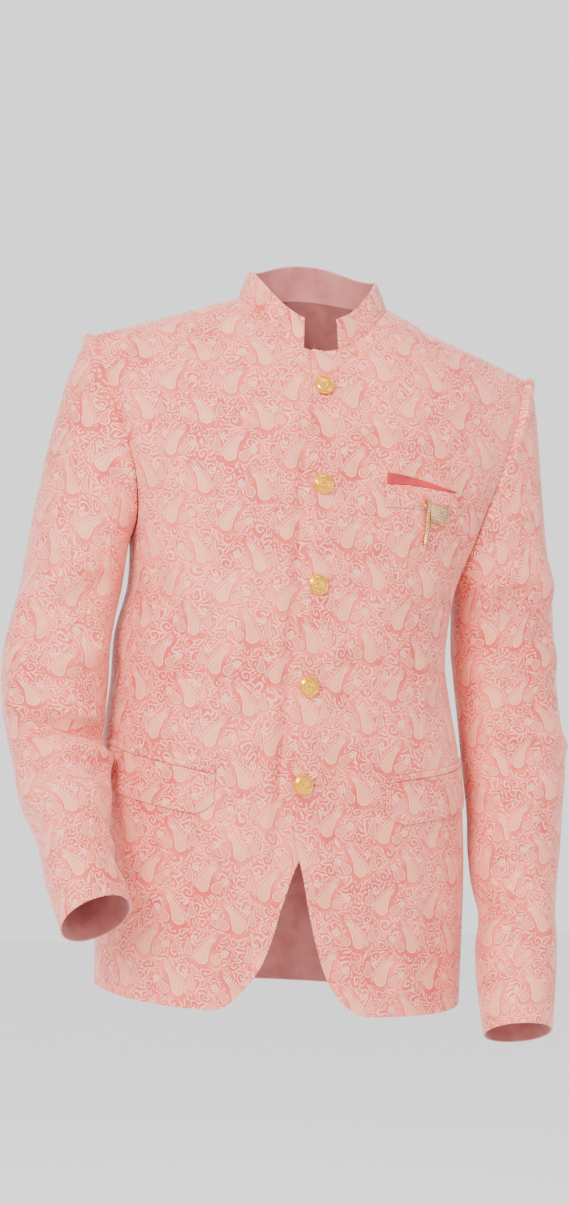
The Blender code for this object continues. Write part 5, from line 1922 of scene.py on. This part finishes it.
@dataclass
class Collar:
    """Stand collar, open in front."""

    palette: Palette
    cut: BodyCut
    front_height: float = 31.0
    side_height: float = 28.5
    back_height: float = 36.0
    cloth: float = 2.4
    lean: float = 11.0
    middle_lean: float = 4.0
    seam: float = -0.6
    steps: int = 40
    rows: int = 16
    top_curl: float = 0.8

    def base(self) -> tuple[Array, Array, Array]:
        """Points, outward directions and angles round the neckline, from right end to left."""
        surface = self.cut.surface
        low = math.degrees(math.asin(self.cut.collar_gap / surface.neck_half_width))
        ends = np.array((0.4, 1.0, 2.0)) / surface.neck_half_width * 57.3
        front = np.concatenate([[low], low + ends, np.linspace(low, 90.0, self.steps + 1)[2:]])
        back = np.linspace(0.0, 90.0, self.steps + 1)
        points, outs, angles = [], [], []
        for side in Side:
            quarter = []
            for around, behind in ((front, False), (back[:-1][::-1], True)):
                girth, place = surface.neckline(around, behind)
                out = surface.frame(side, girth, place)[2]
                lift = 0.0 * girth if behind else surface.front_lift(side, girth, place)
                turn = 180 - around if behind else around
                edge = surface.point(side, girth, place) + out * lift[:, None]
                quarter += list(zip(edge, out, turn if side is Side.RIGHT else 360 - turn))
            quarter = quarter if side is Side.RIGHT else quarter[::-1][1:]
            for point, out, turn in quarter:
                points.append(point)
                outs.append(out)
                angles.append(turn)
        return np.array(points), np.array(outs), np.array(angles)

    def shell(self) -> ClothShell:
        """Make the collar's shell."""
        base, body_out, angles = self.base()
        angles = np.radians(angles)
        along = unit(np.gradient(base, axis=0))
        inward = unit(-base * np.array([1.0, 1.0, 0.0]))
        beyond = unit(np.cross(along, body_out))
        facing = np.sum(beyond * (inward + [0, 0, 1.0]), axis=-1, keepdims=True)
        beyond = beyond * np.sign(facing)
        sideways = np.abs(np.sin(angles))
        middle = np.where(np.cos(angles) > 0, self.front_height, self.back_height)
        height = middle + (self.side_height - middle) * sideways ** 2
        lean = self.lean * sideways + self.middle_lean * (1 - sideways)
        rise = np.stack([inward[:, 0] * lean, inward[:, 1] * lean, height], axis=-1)
        foot = base + unit(beyond + unit(rise)) * self.seam
        steps = fine_places(self.rows, float(height.mean()))[:, None]
        out = unit(np.cross(along, rise))
        out = out * -np.sign(np.sum(out * inward, axis=-1, keepdims=True))
        belly = np.sin(steps * math.pi)[..., None] * self.top_curl
        outer = foot[None] + rise[None] * steps[..., None] + out[None] * belly
        out = np.broadcast_to(out[None], outer.shape)
        run = running_length(base[None], axis=1)
        run = run - run[:, [run.shape[1] // 2]]
        uv = np.stack(np.broadcast_arrays(run, height[None] * steps + 12.0), axis=-1)
        edges = (Edge.SEAM, Edge.TURNED, Edge.TURNED, Edge.TURNED)
        return ClothShell("collar", outer, out, uv, edges, self.cloth)

    def build(self) -> ClothShell:
        """Make the collar and give its shell, for the stitches."""
        shell = self.shell()
        item = shell.build(self.palette.brocade, self.palette.reverse)
        item.name = "collar_cloth"
        settle(item, "brocade", "collar")
        declare_sheet(item, shell)
        return shell


@dataclass
class Pockets:
    """Hip pockets with welts and flaps, and the breast pocket with its folded square."""

    palette: Palette
    body: Body
    hip_start: float = 86.0
    hip_width: float = 146.0
    hip_height: float = -472.0
    hip_slant: float = math.tan(math.radians(8.0))
    welt: float = 6.0
    flap: float = 43.0
    gap: float = 0.54
    front_corner: OutlinePoint = OutlinePoint(24.0, 15.0)
    back_corner: OutlinePoint = OutlinePoint(20.0, 9.0)
    breast_start: float = 64.0
    breast_width: float = 84.0
    breast_height: float = -182.0
    breast_depth: float = 22.0
    breast_slant: float = math.tan(math.radians(8.0))
    square_rise: float = 11.0
    square_low_rise: float = 0.6
    square_share: float = 0.96
    cloth: float = 1.6
    rest: float = 0.32
    flap_float: float = 1.3

    def patch(self, side: Side, start: float, width: float, height: float, slant: float,
              depth: float, columns: Array, rows: Array) -> tuple[Array, Array]:
        """Girth and place of a slanted patch on the body, from its lower to its upper edge."""
        along = (width * columns)[None, :]
        down = depth * (1 - rows)[:, None]
        place = self.body.cut.surface.place_of_height(height + slant * along - down)
        distance = np.broadcast_to(start + along, place.shape)
        girth = self.body.cut.surface.girth_at(side, place.ravel(), distance.ravel())
        return girth.reshape(place.shape), place

    def piece(self, name: str, side: Side, girth: Array, place: Array, lift: Array,
              thickness: float, finish: bpy.types.Material, slot: str,
              rests_on: Sequence[str], shift: float) -> ClothShell:
        """Make one turned piece that lies on a front."""
        surface = self.body.cut.surface
        lift = lift + self.rest + thickness + self.body.creases(side, girth, place)
        lift = lift + surface.front_lift(side, girth, place)
        out = surface.frame(side, girth, place)[2]
        outer = surface.point(side, girth, place) + out * lift[..., None]
        across, up = surface.lengths(side, girth, place)
        uv = np.stack([across * side + shift, up + shift * 0.6], axis=-1)
        shell = ClothShell(name, outer, out, uv, (Edge.TURNED,) * 4, thickness)
        back = self.palette.reverse if slot == "brocade" else finish
        item = shell.build(finish, back)
        item.name = name + "_cloth"
        settle(item, slot, name)
        declare_sheet(item, shell)
        return shell

    def hip(self, side: Side) -> list[ClothShell]:
        """Make one hip pocket's welt and flap."""
        word, brocade = side.word, self.palette.brocade
        on = [f"front_{word}_cloth"]
        columns, rows = fine_places(48, self.hip_width), fine_places(6, self.welt, (0.3, 0.8))
        girth, place = self.patch(side, self.hip_start, self.hip_width, self.hip_height,
                                  self.hip_slant, self.welt, columns, rows)
        lift = np.sin(rows * math.pi)[:, None] * 0.5 + 0.0 * girth
        welt = self.piece("hip_welt_" + word, side, girth, place, lift, self.cloth, brocade,
                          "brocade", on, 9.0)
        rows = fine_places(20, self.flap)
        girth, place = self.patch(side, self.hip_start, self.hip_width,
                                  self.hip_height - self.welt - self.gap, self.hip_slant,
                                  self.flap, columns, rows)
        across, down = columns[None, :], (1 - rows)[:, None]
        front = np.clip(1 - across * self.hip_width / self.front_corner.across, 0.0, 1.0) ** 2
        back = np.clip(1 - (1 - across) * self.hip_width / self.back_corner.across, 0.0, 1.0) ** 2
        rounding = front * self.front_corner.above + back * self.back_corner.above
        place = place + down * rounding / self.body.cut.surface.skirt
        wave = 0.6 + 0.4 * np.sin(across * 5.0 + side)
        flap = self.piece("hip_flap_" + word, side, girth, place,
                          self.flap_float * down ** 2 * wave, self.cloth, brocade, "brocade",
                          on, 4.0)
        return [welt, flap]

    def breast(self) -> list[ClothShell]:
        """Make the breast welt and the folded square that stands out of the pocket."""
        side = Side.LEFT
        columns, rows = fine_places(30, self.breast_width), fine_places(12, self.breast_depth)
        girth, place = self.patch(side, self.breast_start, self.breast_width,
                                  self.breast_height, self.breast_slant, self.breast_depth,
                                  columns, rows)
        welt = self.piece("breast_welt", side, girth, place, 0.0 * girth, self.cloth,
                          self.palette.brocade, "brocade", ["front_left_cloth"], 0.0)
        along = self.square_share * columns[None, :] * self.breast_width
        top = self.square_rise * (1 - along / self.breast_width) + self.square_low_rise
        rows = fine_places(10, self.square_rise, (0.3, 0.8))
        surface = self.body.cut.surface
        heights = (self.breast_height + self.gap + self.breast_slant * along
                   + top * rows[:, None])
        place = surface.place_of_height(heights)
        distance = np.broadcast_to(self.breast_start + 0.8 + along, place.shape)
        girth = surface.girth_at(side, place.ravel(), distance.ravel()).reshape(place.shape)
        fold = 0.35 * np.sin((rows[:, None] * 2.0 + along / self.breast_width) * math.pi) ** 2
        self.piece("pocket_square", side, girth, place, fold, 1.0, self.palette.satin,
                   "red_satin", ["front_left_cloth"], 0.0)
        return [welt]

    def build(self) -> list[ClothShell]:
        """Make every pocket and give the shells that are stitched."""
        return [*self.hip(Side.RIGHT), *self.hip(Side.LEFT), *self.breast()]


@dataclass
class Buttons:
    """Five domed gilt buttons on shanks, with a rope rim and a rosette."""

    palette: Palette
    body: Body
    rest: float = 0.12
    sides: int = 56
    rope_count: int = 40
    rope_radius: float = 9.3
    rope_bead: tuple[float, float, float] = (0.52, 0.95, 0.5)
    petal_count: int = 8
    petal_radius: float = 3.0
    petal_bead: tuple[float, float, float] = (1.7, 0.85, 0.55)
    dot_count: int = 16
    dot_radius: float = 5.9
    dot_bead: tuple[float, float, float] = (0.42, 0.42, 0.42)

    def ring(self, tree: bpy.types.NodeTree, count: int, radius: float,
             bead: tuple[float, float, float], lift: float, lean: float) -> bpy.types.Mesh:
        """Make one ring of beads, with sizes in millimetres."""
        return run_tree(tree, bpy.data.meshes.new("start"), {
            "Count": count, "Ring Radius": radius * MM,
            "Bead Size": tuple(size * MM for size in bead),
            "Lift": (0.0, 0.0, lift * MM), "Lean": lean, "Material": self.palette.gold})

    def build(self) -> None:
        """Make the buttons."""
        tree = build_bead_ring()
        surface = self.body.cut.surface
        for number, height in enumerate(BUTTON_HEIGHTS, start=1):
            place = surface.place_of_height(height)
            along, up, out = surface.frame(Side.LEFT, 0.0, place)
            centre = surface.point(Side.LEFT, 0.0, place)
            centre = centre + out * (surface.overlap_lift + self.rest)
            meshes = [
                turned_mesh(BUTTON_PROFILE, self.sides),
                self.ring(tree, self.rope_count, self.rope_radius, self.rope_bead, 3.85, 0.6),
                self.ring(tree, self.dot_count, self.dot_radius, self.dot_bead, 4.75, 0.0),
                self.ring(tree, self.petal_count, self.petal_radius, self.petal_bead, 5.2, 0.0),
                self.ring(tree, 1, 0.0, (1.1, 1.1, 0.6), 5.45, 0.0),
            ]
            for mesh in meshes:
                move_mesh(mesh, centre, (along, up, out))
            gold = [self.palette.gold] * len(meshes)
            item = merge_meshes(f"button_{number}_gilt", meshes, gold)
            settle(item, "gold", f"button_{number}")


@dataclass
class Brooch:
    """A small axe with its handle down, set with stones."""

    palette: Palette
    body: Body
    start: float = 110.0
    height: float = -188.0
    rest: float = 2.74
    thickness: float = 2.2
    bevel: float = 0.45
    bead: float = 0.62

    def bend(self, mesh: bpy.types.Mesh) -> None:
        """Turn a flat mesh's across, above and out into a place on the wearer's left front."""
        surface = self.body.cut.surface
        flat = np.empty(len(mesh.vertices) * 3)
        mesh.vertices.foreach_get("co", flat)
        local = flat.reshape(-1, 3) / MM
        place = surface.place_of_height(self.height + local[:, 1])
        girth = surface.girth_at(Side.LEFT, place, self.start + local[:, 0])
        out = surface.frame(Side.LEFT, girth, place)[2]
        points = surface.point(Side.LEFT, girth, place) + out * (self.rest + local[:, 2:3])
        mesh.vertices.foreach_set("co", (points * MM).ravel())
        mesh.update()

    def plate(self, outline: Sequence[OutlinePoint]) -> bpy.types.Mesh:
        """Make a bevelled plate from an outline."""
        shape = bmesh.new()
        corners = [shape.verts.new((p.across * MM, p.above * MM, 0.0)) for p in outline]
        face = shape.faces.new(corners)
        grown = bmesh.ops.extrude_face_region(shape, geom=[face])
        moved = [item for item in grown["geom"] if isinstance(item, bmesh.types.BMVert)]
        bmesh.ops.translate(shape, verts=moved, vec=(0.0, 0.0, self.thickness * MM))
        bmesh.ops.bevel(shape, geom=list(shape.edges), offset=self.bevel * MM, segments=2,
                        affect="EDGES", profile=0.5)
        bmesh.ops.recalc_face_normals(shape, faces=shape.faces)
        mesh = bpy.data.meshes.new("plate")
        shape.to_mesh(mesh)
        shape.free()
        return mesh

    def handle(self) -> bpy.types.Mesh:
        """Make the turned handle, laid along the cloth."""
        mesh = turned_mesh(HANDLE_PROFILE, 20)
        axes = ((1.0, 0.0, 0.0), (0.0, 0.0, -1.0), (0.0, 1.0, 0.0))
        move_mesh(mesh, np.array((0.0, 0.0, 1.5)), axes)
        flatten = np.empty(len(mesh.vertices) * 3)
        mesh.vertices.foreach_get("co", flatten)
        local = flatten.reshape(-1, 3)
        local[:, 2] = np.maximum(local[:, 2], 0.0)
        mesh.vertices.foreach_set("co", local.ravel())
        mesh.flip_normals()
        return mesh

    def stones(self) -> bpy.types.Mesh:
        """Set the stones over the blade and down the handle."""
        places = [Stone(5.5 + column * 2.9, -4.6 - row * 2.9 - column * 0.1, 1.05)
                  for row in range(6) for column in range(6)
                  if self.inside(5.5 + column * 2.9, -4.6 - row * 2.9 - column * 0.1)]
        places += [Stone(0.0, -24.0 - step * 2.7, 1.0) for step in range(7)]
        places += [Stone(0.0, -5.2 - step * 2.8, 1.05) for step in range(5)]
        points = [(s.across * MM, s.above * MM, 0.0) for s in places]
        mesh = bpy.data.meshes.new("stone places")
        mesh.from_pydata(points, [], [])
        sizes = mesh.attributes.new("size", "FLOAT", "POINT")
        sizes.data.foreach_set("value", [s.size * MM for s in places])
        made = run_tree(build_stone_setting(), mesh, {
            "Flatten": 0.9, "Sides": 8, "Material": self.palette.stone})
        flat = np.empty(len(made.vertices) * 3)
        made.vertices.foreach_get("co", flat)
        local = flat.reshape(-1, 3)
        on_handle = np.abs(local[:, 0]) < 2.0 * MM
        local[:, 2] += np.where(on_handle, 3.2, self.thickness) * MM
        made.vertices.foreach_set("co", local.ravel())
        made.update()
        return made

    def inside(self, across: float, above: float, margin: float = 1.3) -> bool:
        """True where a stone fits within the blade."""
        corners = [np.array(p) for p in BLADE]
        here = np.array((across, above))
        turns = 0
        nearest = math.inf
        for a, b in zip(corners, corners[1:] + corners[:1]):
            along = b - a
            share = np.clip(np.dot(here - a, along) / np.dot(along, along), 0.0, 1.0)
            nearest = min(nearest, float(np.linalg.norm(here - a - along * share)))
            if (a[1] > above) != (b[1] > above):
                cross = a[0] + (above - a[1]) / (b[1] - a[1]) * (b[0] - a[0])
                turns += cross > across
        return turns % 2 == 1 and nearest > margin

    def build(self) -> None:
        """Make the brooch."""
        meshes = [self.plate(BLADE), self.plate(SPIKE), self.handle(), self.stones()]
        for mesh in meshes:
            self.bend(mesh)
        gold = self.palette.brooch_gold
        item = merge_meshes("brooch_gilt", meshes, [gold, gold, gold, self.palette.stone])
        settle(item, "gold", "brooch")


@dataclass
class Sewing:
    """Stitch rows along the turned edges, and the buttonholes."""

    palette: Palette
    body: Body
    pitch: float = 3.0
    stitch: tuple[float, float, float] = (0.95, 0.2, 0.14)
    inset: float = 4.5
    hole_length: float = 9.0
    hole_start: float = 9.5

    def rows(self, shells: Sequence[ClothShell]) -> None:
        """Lay stitches inside the lower and side edges of the pocket pieces and the collar."""
        tree = build_stitch_row()
        meshes = []
        for shell in shells:
            for line in self.lines(shell):
                meshes.append(run_tree(tree, line_mesh(line), {
                    "Pitch": self.pitch * MM,
                    "Stitch Size": tuple(size * MM for size in self.stitch),
                    "Material": self.palette.thread}))
        item = merge_meshes("edge_stitches", meshes, [self.palette.thread] * len(meshes))
        settle(item, "brocade")

    def lines(self, shell: ClothShell) -> list[Array]:
        """Lines of stitching on one shell."""
        inset = min(self.inset, float(np.ptp(shell.uv[..., 1])) * 0.4)
        up = running_length(shell.outer, axis=0)
        along = running_length(shell.outer, axis=1)
        face = shell.outer + shell.out * 0.05
        if shell.name == "collar":
            inset = 3.0
            row = int(np.argmin(np.abs(up[-1, 0] - up[:, 0] - inset)))
            return [face[row, 5:-5]]
        row = int(np.argmin(np.abs(up[:, 0] - inset)))
        first = int(np.argmin(np.abs(along[0] - inset)))
        last = int(np.argmin(np.abs(along[0, -1] - along[0] - inset)))
        if shell.name.startswith("hip_welt"):
            return [face[len(face) // 2, 2:-2]]
        down = face[row:-1, first][::-1]
        return [np.concatenate([down, face[row, first + 1:last], face[row:-1, last]])]

    def front_edge(self) -> None:
        """Lay stitches down the wearer's left front edge."""
        surface = self.body.cut.surface
        heights = np.linspace(-690.0, -52.0, 260)
        place = surface.place_of_height(heights)
        distance = smooth(FRONT_EDGES, "height", "left", heights) + self.inset
        girth = surface.girth_at(Side.LEFT, place, distance)
        lift = surface.front_lift(Side.LEFT, girth, place)
        lift = lift + self.body.creases(Side.LEFT, girth, place) + 0.05
        out = surface.frame(Side.LEFT, girth, place)[2]
        line = surface.point(Side.LEFT, girth, place) + out * lift[:, None]
        made = run_tree(build_stitch_row(), line_mesh(line), {
            "Pitch": self.pitch * MM, "Stitch Size": tuple(size * MM for size in self.stitch),
            "Material": self.palette.thread})
        settle(merge_meshes("front_edge_stitches", [made], [self.palette.thread]), "brocade")

    def buttonholes(self) -> None:
        """Work a short buttonhole beside each button."""
        surface = self.body.cut.surface
        tree = build_stitch_row()
        meshes = []
        for height in BUTTON_HEIGHTS:
            place = surface.place_of_height(height)
            distance = np.linspace(self.hole_start, self.hole_start + self.hole_length, 12)
            girth = surface.girth_at(Side.LEFT, np.full(12, float(place)), distance)
            lift = surface.front_lift(Side.LEFT, girth, place) + 0.1
            lift = lift + self.body.creases(Side.LEFT, girth, place)
            out = surface.frame(Side.LEFT, girth, place)[2]
            line = surface.point(Side.LEFT, girth, place) + out * lift[:, None]
            meshes.append(run_tree(tree, line_mesh(line), {
                "Pitch": 0.5 * MM, "Stitch Size": (0.3 * MM, 0.75 * MM, 0.3 * MM),
                "Material": self.palette.slit}))
        item = merge_meshes("buttonholes", meshes, [self.palette.slit] * len(meshes))
        settle(item, "brocade")

    def build(self, shells: Sequence[ClothShell]) -> None:
        """Make all the sewing."""
        self.rows(shells)
        self.front_edge()
        self.buttonholes()


@dataclass(frozen=True)
class AreaLight:
    """One soft light: its place and target in metres, its size and strength."""

    name: str
    place: tuple[float, float, float]
    size: float
    power: float
    colour: Colour = (1.0, 1.0, 1.0)

    def build(self, target: tuple[float, float, float]) -> None:
        """Make the light and turn it to the target."""

        data = bpy.data.lights.new(self.name, "AREA")
        data.shape = "DISK"
        data.size = self.size
        data.energy = self.power
        data.color = self.colour
        item = bpy.data.objects.new(self.name, data)
        item.location = self.place
        way = Vector(target) - Vector(self.place)
        item.rotation_euler = way.to_track_quat("-Z", "Y").to_euler()
        bpy.context.scene.collection.objects.link(item)


@dataclass
class Studio:
    """Pale floor, soft lights and the camera at the photograph's view."""

    azimuth: float = -9.0
    distance: float = 3.2
    millimetres_per_pixel: float = 1.02
    origin_pixel: tuple[float, float] = (312.0, 305.0)
    image: tuple[int, int] = (569, 1205)
    sensor: float = 36.0
    floor_height: float = -1.4
    floor_size: float = 14.0
    middle: tuple[float, float, float] = (-0.02, 0.0, -0.36)
    lights: tuple[AreaLight, ...] = (
        AreaLight("key", (-1.7, -2.6, 1.0), 1.3, 170.0, (1.0, 0.985, 0.96)),
        AreaLight("fill", (2.2, -2.4, 0.2), 2.0, 22.0, (0.98, 0.99, 1.0)),
        AreaLight("top", (0.2, -0.4, 2.2), 1.8, 22.0),
        AreaLight("back", (0.6, 2.6, 0.9), 1.8, 20.0),
    )

    def camera(self) -> None:
        """Make the camera."""
        turn = math.radians(self.azimuth)
        step = self.millimetres_per_pixel * MM
        across = (self.image[0] / 2 - self.origin_pixel[0]) * step
        down = (self.image[1] / 2 - self.origin_pixel[1]) * step
        data = bpy.data.cameras.new("camera")
        data.sensor_width = self.sensor
        data.lens = self.distance / step * self.sensor / max(self.image)
        data.clip_end = 50.0
        item = bpy.data.objects.new("camera", data)
        item.location = (across * math.cos(turn) + self.distance * math.sin(turn),
                         across * math.sin(turn) - self.distance * math.cos(turn), -down)
        item.rotation_euler = (math.pi / 2, 0.0, turn)
        bpy.context.scene.collection.objects.link(item)
        bpy.context.scene.camera = item

    def floor(self) -> None:
        """Make the floor."""
        half = self.floor_size / 2
        corners = [(-half, -half), (half, -half), (half, half), (-half, half)]
        mesh = bpy.data.meshes.new("floor")
        mesh.from_pydata([(x, y, self.floor_height) for x, y in corners], [], [(0, 1, 2, 3)])
        made = Finish("pale floor")
        shade = made.tree.nodes.new("ShaderNodeTexNoise")
        made.tree.links.new(made.coordinates("Object"), shade.inputs["Vector"])
        shade.inputs["Scale"].default_value = 0.6
        colour = made.mix(shade.outputs["Fac"], (0.86, 0.86, 0.86), (0.9, 0.9, 0.9))
        made.feed(Base_Color=colour)
        made.shader.inputs["Roughness"].default_value = 0.9
        add_object("floor", mesh, (made.material,))

    def world(self) -> None:
        """Make the pale surroundings."""
        world = bpy.data.worlds.new("studio")
        world.use_nodes = True
        sky = world.node_tree.nodes["Background"]
        sky.inputs["Color"].default_value = (1.0, 1.0, 1.0, 1.0)
        sky.inputs["Strength"].default_value = 1.5
        bpy.context.scene.world = world

    def build(self) -> None:
        """Make the whole studio."""
        self.camera()
        self.floor()
        self.world()
        for light in self.lights:
            light.build(self.middle)


def main() -> None:
    """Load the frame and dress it."""
    logging.basicConfig(level=logging.INFO, format="%(name)s: %(message)s")
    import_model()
    Studio().build()
    palette = Palette.build()
    cut = BodyCut(BodySurface())
    body = Body(palette, cut)
    body.build()
    for side in Side:
        Sleeve(palette, SleeveSurface(cut.surface, side), cut).build()
    collar = Collar(palette, cut).build()
    pockets = Pockets(palette, body).build()
    Buttons(palette, body).build()
    Brooch(palette, body).build()
    Sewing(palette, body).build([*pockets, collar])
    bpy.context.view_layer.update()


if __name__ == "__main__":
    main()
